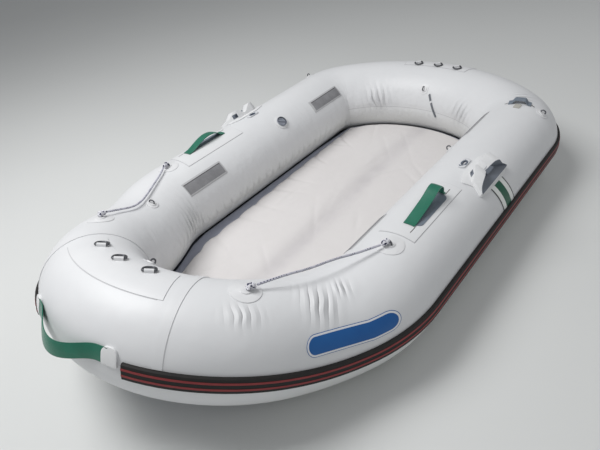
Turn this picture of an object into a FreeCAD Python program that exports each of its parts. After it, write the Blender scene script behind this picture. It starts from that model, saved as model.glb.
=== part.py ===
import FreeCAD, Part
import math
import os

# Round-tailed inflatable dinghy, millimetres. +X points to the bow, +Y to port, +Z up.
# The buoyancy tube is one ring of straight runs and arcs. A place on it is given by the
# distance along its centre line from the middle of the stern, and by an angle round its
# section: 0 faces inboard, 90 is the top and 180 faces outboard.

V = FreeCAD.Vector
PORT = 1
STARBOARD = -1

# Buoyancy tube
tube_diameter = 334.0
beam_over_tubes = 1350.0
stern_end_turn = 19.4
stern_quarter_turn = 26.3
stern_quarter_radius = 580.0
stern_corner_radius = 196.0
side_run = 1022.0
bow_entry_turn = 26.3
bow_entry_radius = 369.0
bow_rise_angle = 21.6
bow_rise_radius = 644.0
bow_shoulder_turn = 30.0
bow_shoulder_radius = 439.0
piece_gap = 0.3

# Longest step between the sections of a loft
loft_step = 45.0

# Bottom cloth and air floor
bottom_cloth_thickness = 3.0
floor_thickness = 58.0
floor_bend_radius = 525.0
keel_width = 4.0
keel_depth = 30.0

# Rubbing strake with two red beads
strake_height = 48.0
strake_thickness = 9.0
strake_chamfer = 3.0
strake_angle = 179.0
strake_bow_angle = 188.0
bow_strake_gap = 294.0
bead_height = 6.0
bead_depth = 2.5
bead_offset = 9.0
bead_proud = 0.8

# Cloth doublers and patches glued to the tube
cloth_thickness = 1.5
seam_tape_width = 26.0
seam_tape_low_angle = -34.0
bow_seam_reach = 230.0
seam_slant = 30.0
bow_patch_length = 380.0
bow_patch_angles = (82.0, 121.0)
stern_patch_length = 330.0
stern_patch_angles = (84.0, 118.0)
side_doubler_length = 318.0
side_doubler_angles = (69.0, 111.0)
seat_patch_length = 215.0
seat_patch_angles = (31.0, 51.0)
fore_seat_patch_share = 0.925
aft_seat_patch_share = 0.11

# Stainless D rings, lying in webbing tabs across the tube at an angle
wire_diameter = 5.0
ring_inside_width = 32.0
ring_inside_reach = 22.0
ring_corner = 5.0
ring_tab_width = 26.0
ring_tab_wall = 2.5
bar_clearance = 0.3
bow_ring_spacing = 112.0
stern_ring_spacing = 102.0
ring_angle = 92.0
ring_lie = 6.0
bow_bar = V(-0.752, 0.659, 0)
stern_bar = V(0.752, -0.659, 0)

# Round pads with a wire eye
eye_disc_radius = 44.0
small_disc_radius = 27.0
eye_base_radius = 16.0
eye_base_thickness = 2.5
eye_half_width = 9.5
eye_height = 14.5
eye_bend = 8.0
fore_eye_reach = 366.0
fore_eye_angle = 100.0
aft_eye_reach = 890.0
aft_eye_angle = 93.0
middle_eye_reach = 623.0
middle_eye_angle = 67.0
seat_eye_share = 0.31
seat_eye_angle = 38.0
bow_eye_angle = 52.0
stern_eye_angle = 36.0
quarter_eye_reach = 28.0
quarter_eye_angle = 125.0

# Life lines and the knots at their ends
line_diameter = 7.0
knot_diameter = 20.0
knot_start = 8.0
knot_end = 32.0
knot_rounding = 4.0
knot_slack = 0.5
line_hold = 0.45
taut_line_waves = (3.0, -3.0, 3.0, -3.0)
slack_line_height = 11.0
slack_line_places = [(440, 91), (516, 81), (594, 77.5), (676, 76), (756, 77), (824, 82)]

# Web handles
web_width = 46.0
web_thickness = 3.0
side_handle_share = 0.78
side_handle_angle = 94.0
side_handle_foot = 22.0
side_handle_foot_reach = 97.0
side_handle_path = [(-104, 0), (-90, 0), (-70, 43.7), (-34, 45.7), (60, 9.7), (92, 0), (104, 0)]
side_handle_bends = [8, 14, 30, 40, 20]
bow_handle_angle = 178.0
bow_handle_reach = 122.0
bow_handle_free_reach = 97.0
bow_handle_rise = 44.0
bow_handle_drop = 16.0
bow_handle_sections = 15
handle_end_length = 46.0
handle_end_height = 52.0
handle_end_thickness = 7.0
handle_end_round = 19.0
web_gap = 0.3

# Rowlocks: a flange, a ridge with two horns and an oar trough between them
rowlock_share = 0.487
rowlock_angle = 117.0
rowlock_flange = 4.0
rowlock_flange_outline = [(-106, -28, 22), (-62, -54, 34), (62, -54, 34), (106, -28, 22),
                          (106, 28, 22), (62, 54, 34), (-62, 54, 34), (-106, 28, 22)]
rowlock_ridge_plan = [(-98, -12, 8), (-60, -31, 12), (60, -31, 12), (98, -12, 8),
                      (98, 12, 8), (60, 31, 12), (-60, 31, 12), (-98, 12, 8)]
rowlock_ridge_profile = [(-97, -16, 0), (-97, 3.5, 0), (-74, 10, 12), (-58, 40, 8), (-42, 40, 6),
                         (-19.5, 25, 0), (19.5, 25, 0), (42, 40, 6), (58, 40, 8), (74, 10, 12),
                         (97, 3.5, 0), (97, -16, 0)]
ridge_depth = 60.0
oar_radius = 21.0
oar_centre_height = 35.0
scoop_radius = 36.0
scoop_centre = 47.0
scoop_floor = 8.0
flank_pocket = [(46, 8.5, 2), (74, 8.5, 2), (54, 25, 2)]
flank_pocket_depth = 9.0
keeper_angle = 92.0
keeper_length = 66.0
keeper_width = 25.0
keeper_thickness = 5.0
keeper_hole_length = 28.0
keeper_hole_width = 10.0

# Valve on the starboard side
valve_radius = 34.0
valve_flange = 3.0
cap_radius = 24.0
cap_height = 6.0
valve_share = 0.426
valve_angle = 49.0

# Webbing loop over the port quarter
quarter_loop_reach = 44.0
quarter_loop_angle = 92.0
quarter_loop_width = 34.0
quarter_loop_path = [(-44, 0), (-30, 0), (-18, 14), (18, 14), (30, 0), (44, 0)]
quarter_loop_bends = [6, 8, 8, 6]

tube_radius = tube_diameter / 2
half_beam = beam_over_tubes / 2 - tube_radius
skin_radius = tube_radius + piece_gap
strake_spread = math.degrees(strake_height / 2 / skin_radius)


class Frame:
    """A point with the direction ahead along the tube, outboard, and up."""

    def __init__(self, point, ahead, out, up):
        self.point = point
        self.ahead = ahead
        self.out = out
        self.up = up

    def turned(self, centre, axis, degrees):
        turn = FreeCAD.Rotation(axis, degrees)
        point = centre + turn.multVec(self.point - centre)
        return Frame(point, turn.multVec(self.ahead), turn.multVec(self.out), turn.multVec(self.up))

    def at(self, ahead, out=0.0, up=0.0):
        return self.point + self.ahead * ahead + self.out * out + self.up * up


class Run:
    """A straight stretch or an arc of the tube's centre line, turning inboard or upward.

    Its frame may also roll about the centre line, evenly from one end to the other.
    """

    def __init__(self, start, length=0.0, radius=0.0, turn=0.0, upward=False, rolled=0.0, roll=0.0):
        self.start = start
        self.radius = radius
        self.turn = turn
        self.upward = upward
        self.rolled = rolled
        self.roll = roll
        self.length = length if radius == 0 else radius * math.radians(turn)
        toward = start.up if upward else start.out * -1.0
        self.centre = start.point + toward * radius
        self.axis = start.ahead.cross(toward)

    def plain_frame(self, distance):
        if self.radius == 0:
            s = self.start
            return Frame(s.at(distance), s.ahead, s.out, s.up)
        return self.start.turned(self.centre, self.axis, math.degrees(distance / self.radius))

    def frame(self, distance):
        here = self.plain_frame(distance)
        roll = self.rolled + self.roll * distance / self.length
        return here.turned(here.point, here.ahead, roll) if roll else here

    def part(self, low, high, extra_rolled=0.0, extra_roll=0.0):
        """The piece of this run between two of its distances, rolled further if asked."""
        share = (high - low) / self.length
        rolled = self.rolled + self.roll * low / self.length + extra_rolled
        return Run(self.plain_frame(low), length=high - low, radius=self.radius,
                   turn=self.turn * share, upward=self.upward, rolled=rolled,
                   roll=self.roll * share + extra_roll)


def sloping_frame(start, side):
    """The frame in the sloping plane in which both halves of the bow meet."""
    across = V(0, -side, 0)
    lead = start.ahead.dot(across)
    out = start.ahead * lead - across
    out.normalize()
    up = start.ahead.cross(out) * side
    return Frame(start.point, start.ahead, out, up), math.degrees(math.acos(lead))


def half_ring(side):
    """The centre line's runs from the middle of the stern to the middle of the bow."""
    start = Frame(V(0, 0, tube_radius), V(0, side, 0), V(-1, 0, 0), V(0, 0, 1))
    sine_end = math.sin(math.radians(stern_end_turn))
    sine_quarter = math.sin(math.radians(stern_end_turn + stern_quarter_turn))
    taken = stern_quarter_radius * (sine_quarter - sine_end) + stern_corner_radius * (1 - sine_quarter)
    runs = [Run(start, radius=(half_beam - taken) / sine_end, turn=stern_end_turn)]

    def add(**shape):
        last = runs[-1]
        runs.append(Run(last.frame(last.length), **shape))

    add(radius=stern_quarter_radius, turn=stern_quarter_turn)
    add(radius=stern_corner_radius, turn=90.0 - stern_end_turn - stern_quarter_turn)
    add(length=side_run)
    add(radius=bow_entry_radius, turn=bow_entry_turn)
    add(radius=bow_rise_radius, turn=bow_rise_angle, upward=True)
    rise = runs[-1]
    level = rise.frame(rise.length)
    sloping, remaining = sloping_frame(level, side)
    rise.roll = side * math.degrees(math.atan2(sloping.out.dot(level.up), sloping.out.dot(level.out)))
    runs.append(Run(sloping, radius=bow_shoulder_radius, turn=bow_shoulder_turn))
    nose = runs[-1].frame(runs[-1].length)
    nose_turn = math.radians(remaining - bow_shoulder_turn)
    reach = nose.ahead * math.sin(nose_turn) - nose.out * (1 - math.cos(nose_turn))
    runs.append(Run(nose, radius=-nose.point.y / reach.y, turn=math.degrees(nose_turn)))
    return runs


ring_runs = {PORT: half_ring(PORT), STARBOARD: half_ring(STARBOARD)}
half_length = sum(run.length for run in ring_runs[PORT])
side_start = sum(run.length for run in ring_runs[PORT][:3])
side_end = side_start + side_run
seam_distance = half_length - bow_seam_reach


def along_side(share):
    """The distance of a place on the straight side, as a share of the side's length."""
    return side_start + share * side_run


fore_eye_place = (half_length - fore_eye_reach, fore_eye_angle)
aft_eye_place = (half_length - aft_eye_reach, aft_eye_angle)
middle_eye_place = (half_length - middle_eye_reach, middle_eye_angle)
seat_eye_place = (along_side(seat_eye_share), seat_eye_angle)
quarter_eye_place = (side_start - quarter_eye_reach, quarter_eye_angle)
quarter_loop_distance = side_start - quarter_loop_reach
side_handle_distance = along_side(side_handle_share)
rowlock_distance = along_side(rowlock_share)
valve_distance = along_side(valve_share)


def between(side, low, high):
    """The runs of one side between two distances from the middle of the stern."""
    pieces = []
    passed = 0.0
    for run in ring_runs[side]:
        first = max(low - passed, 0.0)
        last = min(high - passed, run.length)
        if last - first > 0.01:
            pieces.append(run.part(first, last))
        passed += run.length
    return pieces


def seat(side, distance, angle, height=0.0):
    """A frame on the tube's skin: ahead along the tube, out round it, up away from it."""
    passed = 0.0
    for run in ring_runs[side]:
        if distance <= passed + run.length + 0.01:
            here = run.frame(distance - passed)
            break
        passed += run.length
    turn = math.radians(angle)
    normal = here.up * math.sin(turn) - here.out * math.cos(turn)
    around = here.out * math.sin(turn) + here.up * math.cos(turn)
    return Frame(here.point + normal * (skin_radius + height), here.ahead, around, normal)


def swept(runs, profile):
    """Carries profile, a function from a frame to a wire, along the runs as one solid."""
    solids = []
    for run in runs:
        if run.roll and profile not in (tube_section, clear_section):
            steps = max(2, math.ceil(run.length / loft_step))
            wires = [profile(run.frame(run.length * i / steps)) for i in range(steps + 1)]
            solids.append(Part.makeLoft(wires, True, False))
            continue
        face = Part.Face(profile(run.frame(0)))
        if run.radius == 0:
            solids.append(face.extrude(run.start.ahead * run.length))
        else:
            solids.append(face.revolve(run.centre, run.axis, run.turn))
    if len(solids) == 1:
        return solids[0]
    return solids[0].fuse(solids[1:]).removeSplitter()


def tube_section(frame):
    return Part.Wire(Part.makeCircle(tube_radius, frame.point, frame.ahead))


def clear_section(frame):
    return Part.Wire(Part.makeCircle(skin_radius, frame.point, frame.ahead))


def round_tube(frame, radius, angle):
    """A point of the tube's section at a radius and an angle."""
    turn = math.radians(angle)
    return frame.point + (frame.up * math.sin(turn) - frame.out * math.cos(turn)) * radius


def polar_section(corners):
    """A section through (radius, angle) corners; equal radii are joined by an arc."""
    def section(frame):
        edges = []
        for (radius, angle), (next_radius, next_angle) in zip(corners, corners[1:] + corners[:1]):
            first = round_tube(frame, radius, angle)
            last = round_tube(frame, next_radius, next_angle)
            if radius == next_radius:
                middle = round_tube(frame, radius, (angle + next_angle) / 2)
                edges.append(Part.Arc(first, middle, last).toShape())
            else:
                edges.append(Part.makeLine(first, last))
        return Part.Wire(edges)
    return section


def band_section(low, high, inner, outer):
    """A section that lies on the tube from one angle to the other, between two radii."""
    return polar_section([(inner, low), (inner, high), (outer, high), (outer, low)])


def across_stern(distance, profile):
    halves = [swept(between(side, 0, distance), profile) for side in (PORT, STARBOARD)]
    return halves[0].fuse(halves[1]).removeSplitter()


def across_bow(distance, profile):
    halves = [swept(between(side, distance, half_length), profile) for side in (PORT, STARBOARD)]
    return halves[0].fuse(halves[1]).removeSplitter()


def patch(side, distance, length, angles, base=0.0, thickness=cloth_thickness):
    """A sheet on the tube; it may lie across the middle of the stern or of the bow."""
    section = band_section(angles[0], angles[1], skin_radius + base, skin_radius + base + thickness)
    low = distance - length / 2
    high = distance + length / 2
    sheet = swept(between(side, max(low, 0), min(high, half_length)), section)
    if low < 0:
        sheet = sheet.fuse(swept(between(-side, 0, -low), section)).removeSplitter()
    if high > half_length:
        over = swept(between(-side, 2 * half_length - high, half_length), section)
        sheet = sheet.fuse(over).removeSplitter()
    return sheet


def outline(frame, corners):
    """A closed wire through (ahead, out, radius) corners, each rounded to its radius."""
    spots = [frame.at(a, b) for a, b, r in corners]
    edges = []
    ends = []
    for i, (a, b, r) in enumerate(corners):
        before = spots[i] - spots[i - 1]
        after = spots[(i + 1) % len(spots)] - spots[i]
        before.normalize()
        after.normalize()
        half = before.getAngle(after) / 2
        setback = r * math.tan(half)
        first = spots[i] - before * setback
        last = spots[i] + after * setback
        if r > 0:
            inward = (after - before) * (1 / (after - before).Length)
            middle = spots[i] + inward * (r / math.cos(half) - r)
            edges.append(Part.Arc(first, middle, last).toShape())
        ends.append((first, last))
    for i in range(len(ends)):
        first = ends[i - 1][1]
        last = ends[i][0]
        if (last - first).Length > 0.001:
            edges.append(Part.makeLine(first, last))
    return Part.Wire(Part.__sortEdges__(edges))


def box_outline(length, width, radius):
    a = length / 2
    b = width / 2
    return [(-a, -b, radius), (a, -b, radius), (a, b, radius), (-a, b, radius)]


def moulded_pad(side, distance, angle, corners, base, thickness):
    """A pad of any outline, bent to the tube under it."""
    spot = seat(side, distance, angle)
    reach = max(abs(a) for a, b, r in corners) + 2
    width = max(abs(b) for a, b, r in corners)
    spread = math.degrees(math.asin(width / skin_radius)) + 2
    band = patch(side, distance, 2 * reach, (angle - spread, angle + spread), base, thickness)
    depth = skin_radius * (1 - math.cos(math.radians(spread))) + 10
    low = Frame(spot.at(0, 0, -depth), spot.ahead, spot.out, spot.up)
    stamp = Part.Face(outline(low, corners)).extrude(spot.up * (depth + thickness + base + 10))
    return band.common(stamp)


def disc(side, distance, angle, radius, base=0.0, thickness=cloth_thickness):
    spot = seat(side, distance, angle)
    spread = math.degrees(math.asin(radius / skin_radius)) + 2
    band = patch(side, distance, 2 * radius + 4, (angle - spread, angle + spread), base, thickness)
    depth = radius * radius / skin_radius + 5
    post = Part.makeCylinder(radius, depth + 20, spot.at(0, 0, -depth), spot.up)
    return band.common(post)


def bent_bar(points, radii, section):
    """A bar of straight runs joined by tangent arcs; section draws its wire at a point."""
    solids = []
    start = points[0]
    for i in range(1, len(points) - 1):
        before = points[i] - points[i - 1]
        after = points[i + 1] - points[i]
        before.normalize()
        after.normalize()
        turn = before.getAngle(after)
        setback = radii[i - 1] * math.tan(turn / 2)
        corner = points[i] - before * setback
        if (corner - start).Length > 0.01:
            solids.append(Part.Face(section(start, before)).extrude(corner - start))
        inward = after - before * before.dot(after)
        inward.normalize()
        bend = Part.Face(section(corner, before))
        solids.append(bend.revolve(corner + inward * radii[i - 1], before.cross(inward),
                                   math.degrees(turn)))
        start = points[i] + after * setback
    ahead = points[-1] - start
    if ahead.Length > 0.01:
        last = Part.Face(section(start, ahead * (1 / ahead.Length)))
        solids.append(last.extrude(ahead))
    return solids[0].fuse(solids[1:]).removeSplitter()


def round_section(diameter):
    def section(point, ahead):
        return Part.Wire(Part.makeCircle(diameter / 2, point, ahead))
    return section


def flat_section(width, thickness, across):
    """A web's section: width lies along across, thickness stands off the path."""
    def section(point, ahead):
        off = across.cross(ahead)
        a = across * (width / 2)
        b = off * (thickness / 2)
        corners = [point + a + b, point + a - b, point - a - b, point - a + b]
        return Part.makePolygon(corners + [corners[0]])
    return section


def across_tube(spot, direction):
    """A direction laid into the plane that touches the tube at spot."""
    flat = direction - spot.up * spot.up.dot(direction)
    flat.normalize()
    return flat


bar_height = cloth_thickness + wire_diameter / 2 + bar_clearance + ring_tab_wall
ring_half_width = (ring_inside_width + wire_diameter) / 2
ring_reach = ring_inside_reach + wire_diameter


def d_ring(spot, bar):
    """A D ring with its straight bar through spot, leaning until its bow lies on the patch."""
    thrown = spot.up.cross(bar)
    leaning = FreeCAD.Rotation(bar, -ring_lie).multVec(thrown)
    centre = spot.at(0, 0, bar_height)
    far = ring_half_width * 0.9
    corners = [(0, 0), (ring_half_width, 0), (far, ring_reach), (-far, ring_reach),
               (-ring_half_width, 0), (0, 0)]
    points = [centre + bar * a + leaning * b for a, b in corners]
    radii = [ring_corner, far * 0.9, far * 0.9, ring_corner]
    return bent_bar(points, radii, round_section(wire_diameter))


def ring_tab(spot, bar):
    """The web sleeve that holds a ring's bar down on its patch."""
    bore = wire_diameter / 2 + bar_clearance
    outer = bore + ring_tab_wall
    sink = cloth_thickness * 0.6
    half = bar * (ring_tab_width / 2)
    sleeve = Part.makeCylinder(outer, ring_tab_width, spot.at(0, 0, bar_height) - half, bar)
    thrown = spot.up.cross(bar) * outer
    low = spot.at(0, 0, cloth_thickness - sink) - half
    rise = spot.up * (bar_height - cloth_thickness + sink)
    corners = [low + thrown, low - thrown, low - thrown + rise, low + thrown + rise, low + thrown]
    foot = Part.Face(Part.makePolygon(corners)).extrude(half * 2)
    hole = Part.makeCylinder(bore, ring_tab_width + 2, spot.at(0, 0, bar_height) - half - bar, bar)
    return sleeve.fuse(foot).removeSplitter().cut(hole)


def eye_pad(side, place, disc_radius, along):
    """A round cloth pad with a base and a wire arch that a line can pass along."""
    distance, angle = place
    spot = seat(side, distance, angle)
    across = spot.up.cross(along)
    cloth = disc(side, distance, angle, disc_radius)
    base = disc(side, distance, angle, eye_base_radius, cloth_thickness / 2,
                eye_base_thickness + cloth_thickness / 2)
    low = cloth_thickness + eye_base_thickness * 0.5
    corners = [(-eye_half_width, low), (-eye_half_width, eye_height), (eye_half_width, eye_height),
               (eye_half_width, low)]
    points = [spot.at(0, 0, h) + across * a for a, h in corners]
    arch = bent_bar(points, [eye_bend, eye_bend], round_section(wire_diameter))
    return cloth.fuse([base, arch]).removeSplitter()


def knot(crown, along, across):
    """A line's end: a loop round the wire eye and the knot that closes it."""
    half = (wire_diameter + line_diameter) / 2 + knot_slack
    up = across.cross(along)
    corners = [(knot_start + knot_rounding, -half), (-half, -half), (-half, half),
               (knot_start + knot_rounding, half)]
    points = [crown + along * a + up * h for a, h in corners]
    loop = bent_bar(points, [half - 0.2, half - 0.2], round_section(line_diameter))
    body = Part.makeCylinder(knot_diameter / 2, knot_end - knot_start, crown + along * knot_start, along)
    rims = [edge for edge in body.Edges if edge.Curve.TypeId == "Part::GeomCircle"]
    return loop.fuse(body.makeFillet(knot_rounding, rims)).removeSplitter()


def line(points):
    """A line of straight runs joined by tangent arcs that follow from the runs."""
    radii = []
    for i in range(1, len(points) - 1):
        before = points[i] - points[i - 1]
        after = points[i + 1] - points[i]
        turn = before.getAngle(after)
        radii.append(line_hold * min(before.Length, after.Length) / math.tan(turn / 2))
    return bent_bar(points, radii, round_section(line_diameter)), radii


parts = {}

# Buoyancy tube, in the panels that the air chambers are made from
parts["hull_tube_stern"] = across_stern(side_start, tube_section)
parts["hull_tube_bow"] = across_bow(seam_distance, tube_section)
for name, side in (("port", PORT), ("starboard", STARBOARD)):
    parts["hull_tube_" + name] = swept(between(side, side_start, side_end), tube_section)
    parts["hull_shoulder_" + name] = swept(between(side, side_end, seam_distance), tube_section)

# Cloth tapes over the two bow seams, slanting back toward the outside
tape_angles = (seam_tape_low_angle, strake_bow_angle - strake_spread - 0.5)
for name, side in (("port", PORT), ("starboard", STARBOARD)):
    centre = seat(side, seam_distance, 90, -skin_radius)
    slant = seam_slant / tube_radius
    reach = 1.4 * tube_radius
    half_width = seam_tape_width / 2
    corners = [(-slant * reach - half_width, -reach, 0), (-slant * reach + half_width, -reach, 0),
               (slant * reach + half_width, reach, 0), (slant * reach - half_width, reach, 0)]
    low_end = Frame(centre.at(0, 0, -reach), centre.ahead, centre.out, centre.up)
    slab = Part.Face(outline(low_end, corners)).extrude(centre.up * (2 * reach))
    shell = patch(side, seam_distance, 2 * (slant * reach + half_width) + 4, tape_angles)
    parts["bow_seam_tape_" + name] = shell.common(slab)


# Bottom cloth and air floor: level sheets that rise with the bow and end at the tube
slope_frame = ring_runs[PORT][-2].start
slope = math.atan2(-slope_frame.up.x, slope_frame.up.z)
under_slope = slope_frame.at(0, 0, -tube_radius)
slope_foot = under_slope.x - under_slope.z / math.tan(slope)
rise_from = slope_foot - floor_bend_radius * math.tan(slope / 2)


# a keel under the clear tube, so that no sheet passes below it
keel_spread = math.degrees(math.asin(keel_width / 2 / skin_radius))
keel_section = band_section(270 - keel_spread, 270 + keel_spread, skin_radius - keel_depth,
                            skin_radius + keel_depth)
clear_tube = []
for side in (PORT, STARBOARD):
    for run in between(side, 0, half_length):
        clear_tube.append(swept([run], clear_section))
        clear_tube.append(swept([run], keel_section))


def rising_sheet(low, high):
    """The sheet between two heights above the bottom."""
    def line(height):
        bend = floor_bend_radius - height
        foot = V(rise_from, 0, height)
        middle = V(rise_from + bend * math.sin(slope / 2), 0, floor_bend_radius - bend * math.cos(slope / 2))
        top = V(rise_from + bend * math.sin(slope), 0, floor_bend_radius - bend * math.cos(slope))
        end = top + V(math.cos(slope), 0, math.sin(slope)) * (half_beam - 100)
        return V(0, 0, height), foot, middle, top, end

    a = line(low)
    b = line(high)
    edges = [Part.makeLine(a[0], a[1]), Part.Arc(a[1], a[2], a[3]).toShape(), Part.makeLine(a[3], a[4]),
             Part.makeLine(a[4], b[4]), Part.makeLine(b[4], b[3]), Part.Arc(b[3], b[2], b[1]).toShape(),
             Part.makeLine(b[1], b[0]), Part.makeLine(b[0], a[0])]
    slab = Part.Face(Part.Wire(edges)).extrude(V(0, 2 * half_beam, 0))
    slab.translate(V(0, -half_beam, 0))
    pieces = slab.cut(clear_tube).Solids
    return max(pieces, key=lambda piece: piece.Volume)


parts["bottom_cloth"] = rising_sheet(0.0, bottom_cloth_thickness)
floor_low = bottom_cloth_thickness + piece_gap
parts["air_floor"] = rising_sheet(floor_low, floor_low + floor_thickness)


# Rubbing strake: level along the sides, lower round the bow
strake_inner = skin_radius
strake_outer = skin_radius + strake_thickness
groove_floor = strake_outer - bead_depth
per_millimetre = math.degrees(1 / skin_radius)


def strake_runs(side):
    """The runs that the strake follows, rolled so that it comes down toward the bow."""
    lowered = -side * (strake_bow_angle - strake_angle)
    rolled = 0.0
    runs = []
    for run in between(side, 0, half_length - bow_strake_gap / 2):
        lowering = lowered if run.roll else 0.0
        runs.append(run.part(0, run.length, rolled, lowering))
        rolled += lowering
    return runs


def groove(middle, radius):
    low = strake_angle + (middle - bead_height / 2) * per_millimetre
    high = strake_angle + (middle + bead_height / 2) * per_millimetre
    return [(strake_outer, low), (radius, low), (radius, high), (strake_outer, high)]


edge_low = strake_angle - strake_spread
edge_high = strake_angle + strake_spread
chamfer_turn = strake_chamfer * per_millimetre
strake_corners = [(strake_inner, edge_high), (strake_inner, edge_low),
                  (strake_outer - strake_chamfer, edge_low), (strake_outer, edge_low + chamfer_turn)]
strake_corners += groove(-bead_offset, groove_floor)
strake_corners += groove(bead_offset, groove_floor)
strake_corners += [(strake_outer, edge_high - chamfer_turn), (strake_outer - strake_chamfer, edge_high)]


def all_round(corners):
    halves = [swept(strake_runs(side), polar_section(corners)) for side in (PORT, STARBOARD)]
    return halves[0].fuse(halves[1]).removeSplitter()


parts["rub_strake"] = all_round(strake_corners)
for name, middle in (("upper", -bead_offset), ("lower", bead_offset)):
    low = strake_angle + (middle - bead_height / 2) * per_millimetre
    high = strake_angle + (middle + bead_height / 2) * per_millimetre
    proud = strake_outer + bead_proud
    parts["strake_bead_" + name] = all_round([(groove_floor, low), (groove_floor, high),
                                              (proud, high), (proud, low)])

# Ring patches and D rings at the bow and at the stern
for end, middle, spacing, length, angles, direction in (
        ("bow", half_length, bow_ring_spacing, bow_patch_length, bow_patch_angles, bow_bar),
        ("stern", 0.0, stern_ring_spacing, stern_patch_length, stern_patch_angles, stern_bar)):
    tabs = []
    inward = -1 if end == "bow" else 1
    for name, side, offset in (("middle", PORT, 0.0), ("port", PORT, spacing),
                               ("starboard", STARBOARD, spacing)):
        spot = seat(side, middle + inward * offset, ring_angle)
        bar = across_tube(spot, direction)
        tabs.append(ring_tab(spot, bar))
        parts[end + "_ring_" + name] = d_ring(spot, bar)
    parts[end + "_ring_patch"] = patch(PORT, middle, length, angles).fuse(tabs).removeSplitter()

# Life lines: pads, knots and lines
for name, side in (("port", PORT), ("starboard", STARBOARD)):
    crowns = {}
    for end, place in (("fore", fore_eye_place), ("aft", aft_eye_place)):
        other = aft_eye_place if end == "fore" else fore_eye_place
        spot = seat(side, place[0], place[1])
        if side == PORT:
            target = seat(side, other[0], other[1]).point
        else:
            reach, angle = slack_line_places[0 if end == "fore" else -1]
            target = seat(side, half_length - reach, angle).point
        along = across_tube(spot, target - spot.point)
        crown = spot.at(0, 0, eye_height)
        crowns[end] = crown + along * knot_end
        parts["line_pad_" + end + "_" + name] = eye_pad(side, place, eye_disc_radius, along)
        parts["line_knot_" + end + "_" + name] = knot(crown, along, spot.up.cross(along))
    points = [crowns["fore"]]
    if side == PORT:
        whole = crowns["aft"] - crowns["fore"]
        count = len(taut_line_waves) + 1
        for i, wave in enumerate(taut_line_waves):
            points.append(crowns["fore"] + whole * ((i + 1) / count) + V(0, 0, wave))
    else:
        points += [seat(side, half_length - reach, angle, slack_line_height).point
                   for reach, angle in slack_line_places]
    points.append(crowns["aft"])
    parts["life_line_" + name], radii = line(points)
    print("life line", name, "bend radii", [round(r) for r in radii])
    print("life line", name, "points", [tuple(round(c, 2) for c in point) for point in points])

# Single eyes: inside the bow and the stern, on the starboard side, by the port seat
for node, side, place, radius in (
        ("bow_inner_eye", PORT, (half_length, bow_eye_angle), small_disc_radius),
        ("stern_inner_eye", PORT, (0.0, stern_eye_angle), small_disc_radius),
        ("middle_eye_starboard", STARBOARD, middle_eye_place, small_disc_radius - 1),
        ("seat_eye_port", PORT, seat_eye_place, eye_base_radius + 4),
        ("quarter_eye_port", PORT, quarter_eye_place, small_disc_radius),
        ("quarter_eye_starboard", STARBOARD, quarter_eye_place, small_disc_radius)):
    parts[node] = eye_pad(side, place, radius, seat(side, place[0], place[1]).ahead)

# Side handles: a doubler glued to the tube and a web loop on it
web_lift = web_thickness / 2 + web_gap
doubled_web_lift = cloth_thickness + web_lift
web_spread = math.degrees(web_width / 2 / skin_radius)
for name, side in (("port", PORT), ("starboard", STARBOARD)):
    parts["handle_doubler_" + name] = patch(side, side_handle_distance, side_doubler_length,
                                            side_doubler_angles)
    spot = seat(side, side_handle_distance, side_handle_angle)
    points = [spot.at(a, 0, doubled_web_lift + h) for a, h in side_handle_path]
    loop = bent_bar(points, side_handle_bends, flat_section(web_width, web_thickness, spot.out))
    angles = (side_handle_angle - web_spread, side_handle_angle + web_spread)
    feet = [patch(side, side_handle_distance + reach, side_handle_foot, angles, cloth_thickness, web_thickness)
            for reach in (-side_handle_foot_reach, side_handle_foot_reach)]
    parts["side_handle_" + name] = loop.fuse(feet).removeSplitter()

# Bow handle: a web that hangs outside the bow between two moulded ends
places = []
for i in range(bow_handle_sections):
    offset = bow_handle_reach * (2 * i / (bow_handle_sections - 1) - 1)
    spot = seat(PORT if offset >= 0 else STARBOARD, half_length - abs(offset), bow_handle_angle)
    free = max(0.0, 1 - (offset / bow_handle_free_reach) ** 2) ** 2
    lift = doubled_web_lift + bow_handle_rise * free
    places.append((spot.at(0, bow_handle_drop * free, lift), spot.out))
wires = []
for i, (point, down) in enumerate(places):
    along = places[min(i + 1, len(places) - 1)][0] - places[max(i - 1, 0)][0]
    along.normalize()
    off = down.cross(along)
    off.normalize()
    across = along.cross(off)
    a = across * (web_width / 2)
    b = off * (web_thickness / 2)
    wires.append(Part.makePolygon([point + a + b, point + a - b, point - a - b, point - a + b,
                                   point + a + b]))
web = Part.makeLoft(wires, True, False)
parts["bow_handle_web"] = web
half_end = handle_end_length / 2
half_height = handle_end_height / 2
end_outline = [(-half_end, -half_height, handle_end_round), (half_end, -half_height, handle_end_round),
               (half_end, half_height, 4), (-half_end, half_height, 4)]
for name, side in (("port", PORT), ("starboard", STARBOARD)):
    pad = moulded_pad(side, half_length - bow_handle_reach, bow_handle_angle, end_outline, 0.0,
                      handle_end_thickness)
    parts["bow_handle_end_" + name] = pad.cut(web)

# Grey patches that the thwarts strap to
for end, share in (("fore", fore_seat_patch_share), ("aft", aft_seat_patch_share)):
    for name, side in (("port", PORT), ("starboard", STARBOARD)):
        parts["seat_patch_" + end + "_" + name] = patch(side, along_side(share), seat_patch_length,
                                                        seat_patch_angles)

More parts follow.
